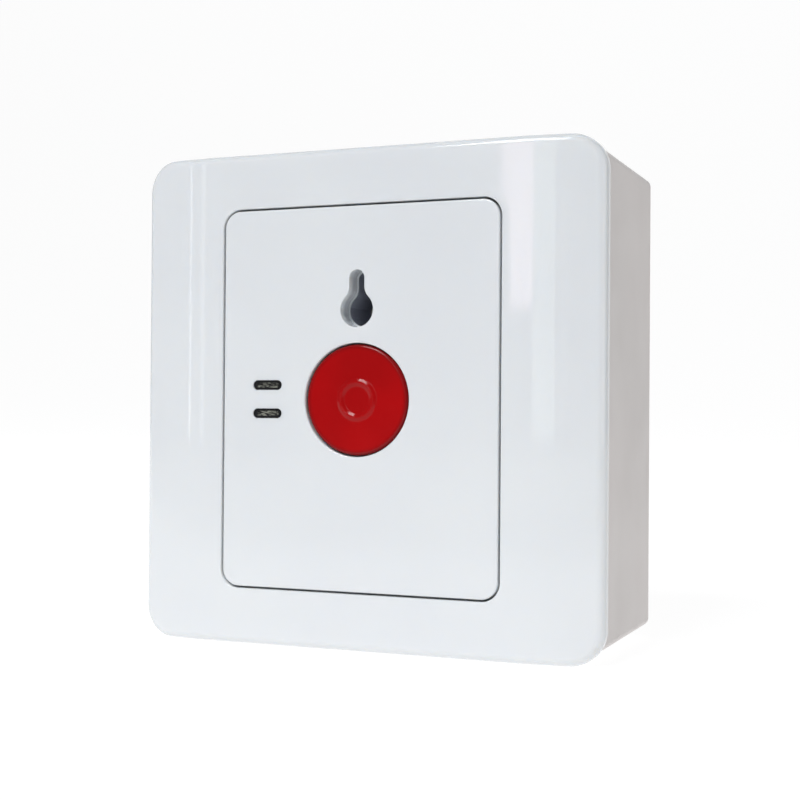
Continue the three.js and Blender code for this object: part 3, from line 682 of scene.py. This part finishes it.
@dataclass
class CoverFrame:
    """The snap-on front frame with its backswept wings."""

    levels: Levels
    half: float
    opening: Point
    corner: float = 5.8
    opening_corner: float = 3.35
    wall: float = 2.2
    skirt: float = 1.8
    rim_round: float = 1.4
    lip_round: float = 0.25
    wing_start: float = 28.0
    wing_radius: float = 50.0
    wing_step: float = 0.75
    hook_length: float = 1.5
    barb_height: float = 0.8
    hook_round: float = 0.15

    def drop(self, x: float) -> float:
        """Gives how far the front has swept back at x."""
        past = max(0.0, abs(x) - self.wing_start)
        return self.wing_radius - math.sqrt(self.wing_radius**2 - past**2)

    def build(self, material: Material) -> None:
        """Builds the frame from six loops, rounds its rims and bends its wings back."""
        bm = bmesh.new()
        inner = self.half - self.skirt
        inner_corner = self.corner - self.skirt
        front = self.levels.front
        back = self.levels.frame_back
        under = front - self.wall
        foot = outline(bm, self.half, self.half, self.corner, back)
        rim = outline(bm, self.half, self.half, self.corner, front)
        lip = outline(bm, *self.opening, self.opening_corner, front)
        lip_under = outline(bm, *self.opening, self.opening_corner, under)
        skirt_under = outline(bm, inner, inner, inner_corner, under)
        skirt_foot = outline(bm, inner, inner, inner_corner, back)
        bridged(bm, foot, rim, lip, lip_under, skirt_under, skirt_foot, foot)
        bmesh.ops.recalc_face_normals(bm, faces=bm.faces)
        rounded_edges(bm, rim, self.rim_round, segments=10)
        rounded_edges(bm, self.lip_edges(bm), self.lip_round, segments=4)
        self.bend_wings(bm)
        placement = Placement(Body.HOUSING, "cover_white", ("front_frame",))
        finished("cover_frame", bm, material, placement)
        self.build_hooks(material)

    def lip_edges(self, bm: Mesh) -> list[Edge]:
        """Finds the edges of the opening on the front face."""
        reach = (self.opening[0] + 0.01, self.opening[1] + 0.01)
        return [
            edge
            for edge in bm.edges
            if all(
                abs(vert.co.z - self.levels.front) < WELD
                and abs(vert.co.x) < reach[0]
                and abs(vert.co.y) < reach[1]
                for vert in edge.verts
            )
        ]

    def bend_wings(self, bm: Mesh) -> None:
        """Cuts the wings into narrow upright strips and sweeps them back."""
        steps = int((self.half - self.wing_start) / self.wing_step)
        for side in (-1, 1):
            for step in range(steps + 1):
                place = side * (self.wing_start + step * self.wing_step)
                bmesh.ops.bisect_plane(
                    bm,
                    geom=[*bm.verts, *bm.edges, *bm.faces],
                    dist=WELD,
                    plane_co=(place, 0, 0),
                    plane_no=(1, 0, 0),
                )
        for vert in bm.verts:
            if vert.co.z > self.levels.frame_back + 0.01:
                vert.co.z -= self.drop(vert.co.x)

    def build_hooks(self, material: Material) -> None:
        """Adds the four snap hooks that grip behind the panel's flange."""
        low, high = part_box("function_panel")
        inside = (high.x - low.x) / MM / 2 - HOOK_ARM - SEAM_GAP
        grip = self.levels.flange_back - SEAM_GAP
        top = self.levels.front - self.wall
        arm = (inside + HOOK_ARM, grip - self.hook_length, top)
        barb = (inside - HOOK_ARM, grip - self.barb_height, grip)
        bm = bmesh.new()
        for x in (-HOOK_OFFSET, HOOK_OFFSET):
            for end in (-1, 1):
                for other, start, stop in (arm, barb):
                    near, far = sorted((end * inside, end * other))
                    block(bm, (x - HOOK_WIDTH / 2, near, start), (x + HOOK_WIDTH / 2, far, stop))
        rounded_edges(bm, bm.edges[:], self.hook_round, segments=2)
        finished("frame_hooks", bm, material, Placement(Body.HOUSING, "cover_white"))


@dataclass
class Keyhole:
    """The pear-shaped opening for the reset key: a bulb that runs into a round-topped neck."""

    centre: float = 15.2
    radius: float = 3.05
    neck_half: float = 1.42
    neck_top: float = 22.0
    blend: float = 2.5
    crown_steps: int = 24
    blend_steps: int = 16
    bulb_steps: int = 64

    def draw(self, bm: Mesh, grow: float, level: float, height: float) -> None:
        """Draws the opening, grown by a wall all round, as a closed block.

        Args:
            bm: The mesh that gets it.
            grow: How much larger than the opening.
            level: Where the block starts.
            height: How deep it is.
        """
        half = self.neck_half + grow
        flank = self.neck_half + self.blend
        rise = math.sqrt((self.radius + self.blend) ** 2 - flank**2)
        lean = math.atan2(rise, flank)
        crown_level = self.neck_top - self.neck_half
        first = bm.verts.new((half, self.centre + rise, level))
        shoulder = bm.verts.new((half, crown_level, level))
        bm.edges.new((first, shoulder))
        crown = sweep(bm, shoulder, (0, crown_level), math.pi, self.crown_steps)
        foot = bm.verts.new((-half, self.centre + rise, level))
        bm.edges.new((crown, foot))
        hollow = sweep(bm, foot, (-flank, self.centre + rise), -lean, self.blend_steps)
        bulb = sweep(bm, hollow, (0, self.centre), math.pi + 2 * lean, self.bulb_steps)
        sweep(bm, bulb, (flank, self.centre + rise), -lean, self.blend_steps)
        bmesh.ops.remove_doubles(bm, verts=bm.verts, dist=1e-3)
        prism(bm, bm.edges, height)


@dataclass
class FunctionPanel:
    """The centre panel in one moulding with its collars, screw bosses and hidden flange."""

    levels: Levels
    keyhole: Keyhole
    button_centre: Point
    half: Point = (25.65, 32.9)
    corner: float = 3.0
    edge_round: float = 0.3
    side_wall: float = 1.8
    pocket_corner: float = 1.2
    flange: float = 38.5
    flange_corner: float = 3.0
    hole_radius: float = 9.7
    hole_round: float = 0.8
    keyhole_depth: float = 3.6
    keyhole_round: float = 0.8
    key_middle: float = 2.0
    key_reach: float = 7.0
    slot_centres: tuple[Point, ...] = ((-17.0, 2.34), (-17.0, -2.58))
    slot_half: Point = (2.8, 0.85)
    screw_hole: float = 2.2
    bosses: Point = (18.0, 26.0)
    boss_radius: float = 2.6
    boss_reach: float = 0.3
    guide_wall: float = 1.2
    guide_end: float = 32.5
    key_wall: float = 1.0
    step_wall: float = 0.5
    step_height: float = 0.4
    step_lip: float = 0.28

    def build(self, material: Material) -> None:
        """Carves the panel and rounds the edges that meet its front."""
        bm = carved(shaped(self.slab), [shaped(self.flange_plate)], self.cuts())
        front = self.levels.front
        rims = [edge for edge in bm.edges if self.is_rim(edge, front)]
        outer = [edge for edge in rims if self.outside(edge)]
        middle = (0, self.keyhole.centre + self.key_middle)
        hole_reach = self.hole_radius + SEAM_GAP
        hole = [edge for edge in rims if self.near(edge, self.button_centre, hole_reach)]
        key = [edge for edge in rims if self.near(edge, middle, self.key_reach)]
        for edges, offset, segments in (
            (outer, self.edge_round, 4),
            (hole, self.hole_round, 5),
            (key, self.keyhole_round, 6),
        ):
            rounded_edges(bm, [edge for edge in edges if edge.is_valid], offset, segments)
        placement = Placement(Body.HOUSING, "cover_white", ("function_panel",))
        finished("call_panel", bm, material, placement)

    @staticmethod
    def is_rim(edge: Edge, front: float) -> bool:
        """Tells whether an edge lies on the front face and turns sharply into a wall."""
        level = all(abs(vert.co.z - front) < 1e-3 for vert in edge.verts)
        return level and len(edge.link_faces) == 2 and edge.calc_face_angle(0) > math.radians(60)

    @staticmethod
    def near(edge: Edge, centre: Point, radius: float) -> bool:
        """Tells whether both ends of an edge lie within a radius of a point."""
        return all(math.dist(vert.co.xy, centre) < radius for vert in edge.verts)

    def outside(self, edge: Edge) -> bool:
        """Tells whether an edge lies on the outline of the panel."""
        middle = (edge.verts[0].co + edge.verts[1].co) / 2
        past = (abs(middle.x) - self.half[0], abs(middle.y) - self.half[1])
        return max(past) > -self.corner

    def slab(self, bm: Mesh) -> None:
        """Draws the raised body behind the visible face."""
        back = self.levels.flange_back
        prism(bm, outline(bm, *self.half, self.corner, back), self.levels.front - back)

    def flange_plate(self, bm: Mesh) -> None:
        """Draws the flange that the frame hides."""
        loop = outline(bm, self.flange, self.flange, self.flange_corner, self.levels.flange_back)
        prism(bm, loop, FLANGE_THICKNESS)

    def cuts(self) -> list[bpy.types.Object]:
        """Makes the tools for the pocket, the button hole, the keyhole and the slots."""
        inside = self.levels.panel_inside
        back = self.levels.flange_back - OVERSHOOT
        front = self.levels.front + OVERSHOOT
        flange_front = self.levels.flange_back + FLANGE_THICKNESS + OVERSHOOT

        hollow = (self.half[0] - self.side_wall, self.half[1] - self.side_wall)
        end = self.slot_half[1] - END_SHY

        def slot(centre: Point) -> bpy.types.Object:
            """Makes the shape of one indicator slot."""
            return shaped(
                lambda bm: prism(bm, outline(bm, *self.slot_half, end, back, centre), front - back)
            )

        def screw_holes(bm: Mesh) -> None:
            """Draws the flange's two screw holes."""
            for x in (-SCREW_HALF_PITCH, SCREW_HALF_PITCH):
                cylinder(bm, (x, 0.0), self.screw_hole, back, flange_front, segments=32)

        def notches(bm: Mesh) -> None:
            """Draws the four notches that the frame's hooks reach through."""
            near = self.flange - HOOK_ARM - 2 * SEAM_GAP
            far = self.flange + OVERSHOOT
            half = HOOK_WIDTH / 2 + SEAM_GAP
            for x in (-HOOK_OFFSET, HOOK_OFFSET):
                for low, high in ((-far, -near), (near, far)):
                    block(bm, (x - half, low, back), (x + half, high, flange_front))

        corner = self.pocket_corner
        return [
            shaped(lambda bm: prism(bm, outline(bm, *hollow, corner, back), inside - back)),
            shaped(lambda bm: cylinder(bm, self.button_centre, self.hole_radius, back, front, 128)),
            shaped(lambda bm: self.keyhole.draw(bm, 0.0, back, front - back)),
            shaped(screw_holes),
            shaped(notches),
            *(slot(centre) for centre in self.slot_centres),
        ]

    def build_collars(self, material: Material) -> None:
        """Adds the guide collars and screw bosses behind the face."""
        inside = self.levels.panel_inside
        start = self.levels.front - self.keyhole_depth
        depth = self.keyhole_depth

        def key_block(wall: float, level: float, height: float) -> bpy.types.Object:
            """Makes the keyhole's shape, grown by a wall, as a working object."""
            return shaped(lambda bm: self.keyhole.draw(bm, wall, level, height))

        collar = key_block(self.key_wall, start, inside - start)
        way = key_block(0.0, start - OVERSHOOT, depth + 2 * OVERSHOOT)
        step = key_block(self.step_wall, start, self.step_height)
        throat = key_block(-self.step_lip, start - OVERSHOOT, depth)
        bm = carved(collar, [], [way])
        absorb(bm, carved(step, [], [throat]))
        inner = self.hole_radius
        outer = self.hole_radius + self.guide_wall
        guide = [(inner, self.guide_end), (outer, self.guide_end), (outer, inside), (inner, inside)]
        turned(bm, self.button_centre, [*guide, guide[0]], steps=96)
        for x in (-self.bosses[0], self.bosses[0]):
            for y in (-self.bosses[1], self.bosses[1]):
                start = self.levels.latch - self.boss_reach
                cylinder(bm, (x, y), self.boss_radius, start, inside, segments=32)
        finished("panel_collars", bm, material, Placement(Body.HOUSING, "cover_white"))


@dataclass
class PushButton:
    """The red cap with its touch ring, its skirt and the grooved stem."""

    levels: Levels
    centre: Point
    radius: float = 9.5
    recess: float = 0.3
    edge_round: float = 0.6
    wall: float = 1.8
    skirt: float = 7.6
    flange: Point = (0.9, 1.2)
    ring_crest: float = 3.0
    ring_half: float = 0.78
    ring_height: float = 0.28
    ring_foot: float = 0.08
    ring_steps: int = 14
    stem: float = 3.0
    neck: float = 1.95
    root: float = 3.6
    travel: float = 3.5
    groove: float = 1.5
    chamfer: float = 0.3

    def build(self, material: Material) -> None:
        """Spins the cap from one closed profile."""
        face = self.levels.front - self.recess
        rim = face - self.edge_round
        ceiling = face - self.wall
        bottom = face - self.skirt - self.flange[1]
        groove_end = self.levels.latch + self.travel + self.groove
        inner = self.radius - self.wall
        flange_radius = self.radius + self.flange[0]
        profile = [
            (0, self.levels.stem_end),
            (self.stem - self.chamfer, self.levels.stem_end),
            (self.stem, self.levels.stem_end + self.chamfer),
            (self.stem, self.levels.latch),
            (self.neck, self.levels.latch + self.travel),
            (self.neck, groove_end),
            (self.root, groove_end + self.root - self.neck),
            (self.root, ceiling),
            (inner, ceiling),
            (inner, bottom),
            (flange_radius, bottom),
            (flange_radius, bottom + self.flange[1]),
            (self.radius, bottom + self.flange[1]),
            *arc((self.radius - self.edge_round, rim), self.edge_round, 0, 90, 10),
            (self.ring_crest + self.ring_half + self.ring_foot, face),
            *self.touch_ring(face),
            (self.ring_crest - self.ring_half - self.ring_foot, face),
            (0, face),
        ]
        bm = bmesh.new()
        turned(bm, self.centre, profile, steps=128)
        placement = Placement(Body.BUTTON, "button_red", ("push_button",))
        finished("call_button_cap", bm, material, placement)

    def touch_ring(self, face: float) -> list[Point]:
        """Gives the raised ring's section: a smooth swell between its two feet."""
        points = []
        for i in range(self.ring_steps + 1):
            share = i / self.ring_steps
            height = self.ring_height * math.sin(math.pi * share) ** 1.7
            points.append((self.ring_crest + self.ring_half * (1 - 2 * share), face + height))
        return points


@dataclass
class Indicators:
    """The light guide in the two slots, black while the lamps behind it are off."""

    levels: Levels
    centres: tuple[Point, ...]
    pipe_half: Point = (2.74, 0.79)
    window_half: Point = (2.15, 0.44)
    recess: float = 0.15
    window_height: float = 0.1
    window_lift: float = 0.01
    window_round: float = 0.1
    web_half: Point = (4.5, 5.0)
    web_corner: float = 1.0
    web_height: float = 2.0

    def build(self, guide: Material, window: Material) -> None:
        """Builds the two pipes with their web, and the lens on the end of each pipe."""
        bm = bmesh.new()
        front = self.levels.front - self.recess
        back = self.levels.guide_back
        middle = (self.centres[0][0], sum(centre[1] for centre in self.centres) / 2)
        for centre in self.centres:
            corner = self.pipe_half[1] - END_SHY
            prism(bm, outline(bm, *self.pipe_half, corner, back, centre), front - back)
        web_back = self.levels.panel_inside - self.web_height
        web = outline(bm, *self.web_half, self.web_corner, web_back, middle)
        prism(bm, web, self.levels.panel_inside - web_back)
        placement = Placement(Body.HOUSING, "guide_smoke", ("light_guide",))
        finished("light_guide_pipes", bm, guide, placement)
        lens = bmesh.new()
        for centre in self.centres:
            corner = self.window_half[1] - END_SHY
            loop = outline(lens, *self.window_half, corner, front + self.window_lift, centre)
            prism(lens, loop, self.window_height)
        half_way = front + self.window_height / 2
        tops = [edge for edge in lens.edges if all(vert.co.z > half_way for vert in edge.verts)]
        rounded_edges(lens, tops, self.window_round, segments=3)
        finished("lamp_windows", lens, window, Placement(Body.HOUSING, "lamp_lens"))


@dataclass
class SurfaceBox:
    """The box on the wall: tapered sides, screw posts, fixing holes and scored knock-outs."""

    levels: Levels
    front_half: float
    back_half: float
    corner: float = 1.5
    inner_corner: float = 0.5
    wall: float = 2.0
    floor: float = 2.0
    edge_round: float = 0.5
    rim_round: float = 0.4
    post_radius: float = 4.0
    bore_radius: float = 2.9
    bore_depth: float = 8.2
    slot_half: Point = (4.5, 2.3)
    cable_hole: float = 9.0
    cable_drop: float = 15.5
    knockout: float = 8.0
    score_width: float = 0.8
    score_depth: float = 4.0
    score_start: float = 0.1

    def build(self, material: Material) -> None:
        """Hollows the block, adds the posts, carves the holes and rounds the rim."""
        shell = carved(shaped(self.outside), [], [shaped(self.inside)])
        hollowed = loose_object("working_shape", shell)
        bm = carved(hollowed, [shaped(self.posts)], [shaped(self.holes), shaped(self.knockouts)])
        rims = [edge for edge in bm.edges if FunctionPanel.is_rim(edge, self.levels.box_front)]
        rounded_edges(bm, rims, self.rim_round, segments=3)
        finished("surface_box", bm, material, Placement(Body.HOUSING, "box_white", ("back_box",)))

    def outside(self, bm: Mesh) -> None:
        """Draws the tapered block with its rounded back edge."""
        foot = outline(bm, self.back_half, self.back_half, self.corner, 0)
        rim = outline(bm, self.front_half, self.front_half, self.corner, self.levels.box_front)
        closed(bm, foot, rim)
        rounded_edges(bm, foot, self.edge_round, segments=4)

    def inside(self, bm: Mesh) -> None:
        """Draws the tapered hollow that opens at the front."""
        back = self.back_half - self.wall
        front = self.front_half - self.wall
        base = outline(bm, back, back, self.inner_corner, self.floor)
        mouth = outline(bm, front, front, self.inner_corner, self.levels.box_front + OVERSHOOT)
        closed(bm, base, mouth)

    def posts(self, bm: Mesh) -> None:
        """Draws the two screw posts, sunk into the floor."""
        for x in (-SCREW_HALF_PITCH, SCREW_HALF_PITCH):
            low, high = self.floor / 2, self.levels.flange_back
            cylinder(bm, (x, 0), self.post_radius, low, high, segments=48)

    def holes(self, bm: Mesh) -> None:
        """Draws the fixing slots, the cable hole and the bores of the posts."""
        through = self.floor + 2 * OVERSHOOT
        corner = self.slot_half[1] - END_SHY
        post_top = self.levels.flange_back
        for place in (-SCREW_HALF_PITCH, SCREW_HALF_PITCH):
            prism(bm, outline(bm, *self.slot_half, corner, -OVERSHOOT, (0, place)), through)
            low, high = post_top - self.bore_depth, post_top + OVERSHOOT
            cylinder(bm, (place, 0), self.bore_radius, low, high, segments=32)
        middle = (0, -self.cable_drop)
        cylinder(bm, middle, self.cable_hole, -OVERSHOOT, self.floor + OVERSHOOT, segments=96)

    def knockouts(self, bm: Mesh) -> None:
        """Draws the scored rings in the top and bottom walls."""
        inner, outer = self.knockout - self.score_width, self.knockout
        profile = [(inner, 0), (outer, 0), (outer, self.score_depth), (inner, self.score_depth)]
        reach = self.back_half + self.score_start
        for side in (-1, 1):
            ring = bmesh.new()
            turned(ring, (0, 0), [*profile, profile[0]], steps=64)
            turn = Matrix.Rotation(-side * math.pi / 2, 4, "X")
            place = Matrix.Translation((0, side * reach, self.levels.box_front / 2))
            ring.transform(place @ turn)
            absorb(bm, ring)


class CoilAxis(Enum):
    """The line that a coil spring stands on."""

    OUT_OF_WALL = "Z"
    UP_THE_WALL = "Y"


@dataclass
class CoilSpring:
    """A compression spring of round wire, wound by a spin that climbs."""

    name: str
    node: str
    turns: float
    wire: float
    axis: CoilAxis
    joint: str = ""
    keep: float = 1.0
    turn_steps: int = 40
    wire_sides: int = 14

    def build(self, material: Material) -> None:
        """Winds the spring inside its node's box, and gives it a mesh of its own if it has a joint.
        """
        low, high = (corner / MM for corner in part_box(self.node))
        out_of_wall = self.axis is CoilAxis.OUT_OF_WALL
        start, end = (-high.y, -low.y) if out_of_wall else (low.z, high.z)
        radius = (high.x - low.x) / 2 - self.wire
        steps = round(self.turns * self.turn_steps)
        bm = bmesh.new()
        turn = Matrix.Translation((radius, 0, 0)) @ Matrix.Rotation(math.pi / 2, 4, "X")
        section = bmesh.ops.create_circle(
            bm, cap_ends=False, radius=self.wire, segments=self.wire_sides, matrix=turn
        )
        edges = list(bm.edges)
        bmesh.ops.spin(
            bm,
            geom=[*section["verts"], *edges],
            cent=(0, 0, 0),
            axis=(0, 0, 1),
            dvec=(0, 0, (end - start - 2 * self.wire) / steps),
            angle=math.tau * self.turns,
            steps=steps,
        )
        bmesh.ops.holes_fill(bm, edges=[edge for edge in bm.edges if edge.is_boundary])
        bmesh.ops.recalc_face_normals(bm, faces=bm.faces)
        bmesh.ops.translate(bm, vec=(0, 0, start + self.wire), verts=bm.verts)
        middle = (low + high) / 2
        if out_of_wall:
            seat = (middle.x, middle.z, 0)
        else:
            bm.transform(Matrix.Rotation(-math.pi / 2, 4, "X"))
            seat = (middle.x, 0, -middle.y)
        bmesh.ops.translate(bm, vec=seat, verts=bm.verts)
        placement = Placement(Body.HOUSING, "spring_steel", (self.node,))
        piece = finished(self.name, bm, material, placement)
        if self.joint:
            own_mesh(piece)


@dataclass(frozen=True)
class KeptPiece:
    """A node of the frame whose own shape is shown, or a numbered row of them."""

    stem: str
    finish: str
    count: int = 0

    def nodes(self) -> list[str]:
        """Lists the nodes' names."""
        return [f"{self.stem}_{i + 1}" for i in range(self.count)] or [self.stem]

    def dress(
        self, nodes: dict[str, bpy.types.Object], finishes: dict[str, Material]
    ) -> None:
        """Gives each node its finish."""
        for name in self.nodes():
            slots = nodes[name].data.materials
            slots.clear()
            slots.append(finishes[self.finish])
            LOG.info("%s: dressed in %s", name, self.finish)


# The inner pieces, which keep the frame's shapes
MECHANISM = (
    KeptPiece("mechanism_housing", "grey"),
    KeptPiece("latch_slide", "acetal"),
    KeptPiece("circuit_board", "board"),
    KeptPiece("push_switch", "black"),
    KeptPiece("switch_plunger", "pin"),
    KeptPiece("terminal_block", "terminal"),
    KeptPiece("led", "lamp", 2),
    KeptPiece("resistor", "resistor", 2),
    KeptPiece("terminal_screw", "zinc", 4),
    KeptPiece("housing_screw", "zinc", 4),
    KeptPiece("board_screw", "zinc", 2),
    KeptPiece("plate_screw", "zinc", 2),
    KeptPiece("post_insert", "brass", 2),
)


@dataclass(frozen=True)
class SoftLight:
    """A rectangular studio light, placed by its angles as seen from the object.

    A turn of zero is straight out of the wall, and a positive turn is to the right.
    """

    name: str
    turn: float
    rise: float
    distance: float
    size: Point
    glow: float
    colour: str = "FFFFFF"

    def build(self) -> None:
        """Adds the light to the scene, facing the object, as bright as its glow."""
        turn, rise = math.radians(self.turn), math.radians(self.rise)
        flat = math.cos(rise)
        away = Vector((flat * math.sin(turn), -flat * math.cos(turn), math.sin(rise)))
        data = bpy.data.lights.new(self.name, "AREA")
        data.shape = "RECTANGLE"
        data.size, data.size_y = self.size
        data.energy = self.glow * math.pi * self.size[0] * self.size[1]
        data.color = linear(self.colour)[:3]
        light = bpy.data.objects.new(self.name, data)
        light.location = Vector(OBJECT_MIDDLE) + away * self.distance
        light.rotation_mode = "QUATERNION"
        light.rotation_quaternion = (-away).to_track_quat("-Z", "Y")
        bpy.context.scene.collection.objects.link(light)


@dataclass
class Studio:
    """The camera of the photograph, a pale floor and plain soft light."""

    picture: float = 800.0
    focal_px: float = 1475.63
    sensor: float = 36.0
    yaw: float = 23.182
    pitch: float = 0.633
    roll: float = -0.421
    eye: tuple[float, float, float] = (0.10554, -0.26749, -0.00294)
    floor_level: float = -0.0431
    floor_width: float = 6.0
    floor_near: float = -2.5
    floor_far: float = 1.6
    floor_bend: float = 1.2
    backdrop_rise: float = 3.0
    floor_glow: float = 0.9
    room_glow: float = 0.2

    def build(self) -> None:
        """Sets up the camera, the floor, the surroundings and the lights."""
        bpy.context.scene.view_settings.view_transform = "Standard"
        self.build_camera()
        self.build_floor()
        self.build_surroundings()
        lights = [
            SoftLight("key_above", -12, 46, 1.3, (0.5, 0.45), 16.3, "FBFDFF"),
            SoftLight("right_fill", 85, 8, 2.0, (1.0, 1.2), 1.6, "FFFDFA"),
            SoftLight("window", -14.1, 12.6, 2.0, (0.31, 0.56), 3.2, "FFE6EE"),
            SoftLight("pale_card", -5.0, 2, 2.2, (0.36, 1.8), 1.3, "F2FFF6"),
            SoftLight("left_window", -36.5, 2, 2.0, (0.07, 1.6), 1.3, "F8FBFF"),
            SoftLight("left_tube", -43.0, 4, 2.0, (0.02, 1.2), 5.0, "F8FBFF"),
        ]
        for light in lights:
            light.build()

    def build_camera(self) -> None:
        """Places the camera from the fitted eye point and angles."""
        yaw, pitch, roll = (math.radians(angle) for angle in (self.yaw, self.pitch, self.roll))
        right = Vector((math.cos(yaw), math.sin(yaw), 0))
        flat = math.cos(pitch)
        ahead = Vector((-math.sin(yaw) * flat, math.cos(yaw) * flat, math.sin(pitch)))
        down = ahead.cross(right)
        across = math.cos(roll) * right + math.sin(roll) * down
        below = -math.sin(roll) * right + math.cos(roll) * down
        data = bpy.data.cameras.new("photo_camera")
        data.sensor_width = self.sensor
        data.lens = self.focal_px * self.sensor / self.picture
        data.clip_start = 0.01
        camera = bpy.data.objects.new("photo_camera", data)
        turn = Matrix((across, -below, -ahead)).transposed().to_4x4()
        camera.matrix_world = Matrix.Translation(self.eye) @ turn
        bpy.context.scene.collection.objects.link(camera)
        bpy.context.scene.camera = camera

    def build_floor(self) -> None:
        """Lays a pale floor that runs up into a backdrop."""
        bm = bmesh.new()
        bend, top = self.floor_bend, self.floor_level + self.floor_bend
        profile = [
            (self.floor_near, self.floor_level),
            *arc((self.floor_far, top), bend, -90, 0, 24),
            (self.floor_far + bend, top + self.backdrop_rise),
        ]
        verts = [bm.verts.new((-self.floor_width / 2, y, z)) for y, z in profile]
        edges = [bm.edges.new(pair) for pair in zip(verts, verts[1:])]
        extruded = bmesh.ops.extrude_edge_only(bm, edges=edges)
        moved = [item for item in extruded["geom"] if isinstance(item, Vert)]
        bmesh.ops.translate(bm, vec=(self.floor_width, 0, 0), verts=moved)
        bmesh.ops.recalc_face_normals(bm, faces=bm.faces)
        floor = loose_object("studio_floor", bm)
        floor.data.shade_smooth()
        floor.data.materials.append(self.paper())

    def paper(self) -> Material:
        """Builds matt white paper, lit from below round the object and plain in front of it."""
        material, tree = start_material("white_paper")
        axes = add_node(tree, "ShaderNodeSeparateXYZ", None, {"Vector": placed(tree)})
        ease = "SMOOTHSTEP"
        behind = remap(tree, axes.outputs["Y"], band=(-0.3, -0.14), interpolation=ease)
        beside = remap(tree, axes.outputs["X"], band=(3.0, 0.6), interpolation=ease)
        product = {"operation": "MULTIPLY"}
        lit = add_node(tree, "ShaderNodeMath", product, {0: behind, 1: beside}).outputs["Value"]
        glow = add_node(tree, "ShaderNodeMath", {**product, 1: self.floor_glow}, {0: lit})
        return surfaced(
            material,
            {"Roughness": 0.9, "Specular IOR Level": 0.1, "Emission Color": linear("FFFFFF")},
            {
                "Base Color": mix_colours(tree, lit, "A9AAAB", "747474"),
                "Emission Strength": glow.outputs["Value"],
            },
        )

    def build_surroundings(self) -> None:
        """Gives the room an even white glow."""
        world = bpy.data.worlds.new("studio_room")
        world.use_nodes = True
        room = world.node_tree.nodes["Background"]
        room.inputs["Color"].default_value = linear("F4F7FB")
        room.inputs["Strength"].default_value = self.room_glow
        bpy.context.scene.world = world


def build_finishes() -> dict[str, Material]:
    """Builds every material and returns them by short name."""
    finishes = {
        "cover": COVER_WHITE,
        "box": BOX_WHITE,
        "red": BUTTON_RED,
        "grey": MECHANISM_GREY,
        "acetal": LATCH_ACETAL,
        "black": SWITCH_BLACK,
        "pin": PIN_WHITE,
        "terminal": TERMINAL_GREEN,
        "lamp": LAMP_RED,
        "resistor": RESISTOR_TAN,
        "guide": GUIDE_BLACK,
        "spring": SPRING_STEEL,
        "zinc": ZINC_STEEL,
        "brass": TURNED_BRASS,
        "board": BOARD,
        "window": LAMP_WINDOW,
    }
    return {name: finish.build() for name, finish in finishes.items()}


def build_cover(levels: Levels, materials: dict[str, Material]) -> None:
    """Builds the pieces of the front: frame, panel, button and indicators."""
    low, high = (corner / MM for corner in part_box("front_frame"))
    button_low, button_high = (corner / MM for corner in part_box("push_button"))
    button_centre = (0.0, (button_low.z + button_high.z) / 2)
    panel = FunctionPanel(levels, Keyhole(), button_centre)
    opening = (panel.half[0] + OPENING_GAP, panel.half[1] + OPENING_GAP)
    CoverFrame(levels, (high.x - low.x) / 2, opening).build(materials["cover"])
    panel.build(materials["cover"])
    panel.build_collars(materials["cover"])
    PushButton(levels, button_centre).build(materials["red"])
    Indicators(levels, panel.slot_centres).build(materials["guide"], materials["window"])


def main() -> None:
    """Loads the frame, builds every sub-assembly around it and sets up the studio."""
    logging.basicConfig(level=logging.INFO, format="%(name)s %(message)s")
    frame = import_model()
    Studio().build()
    materials = build_finishes()
    levels = Levels.read()
    build_cover(levels, materials)
    low, high = (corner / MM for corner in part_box("back_box"))
    front_half = (high.x - low.x) / 2
    SurfaceBox(levels, front_half, front_half - BOX_TAPER).build(materials["box"])
    axis = CoilAxis.OUT_OF_WALL
    springs = [
        CoilSpring("button_return_coil", "button_spring", 3.5, 0.3, axis, "button_press", 0.63),
        CoilSpring("latch_return_coil", "latch_spring", 4, 0.17, CoilAxis.UP_THE_WALL),
    ]
    for spring in springs:
        spring.build(materials["spring"])
    for piece in MECHANISM:
        piece.dress(frame["nodes"], materials)


if __name__ == "__main__":
    main()
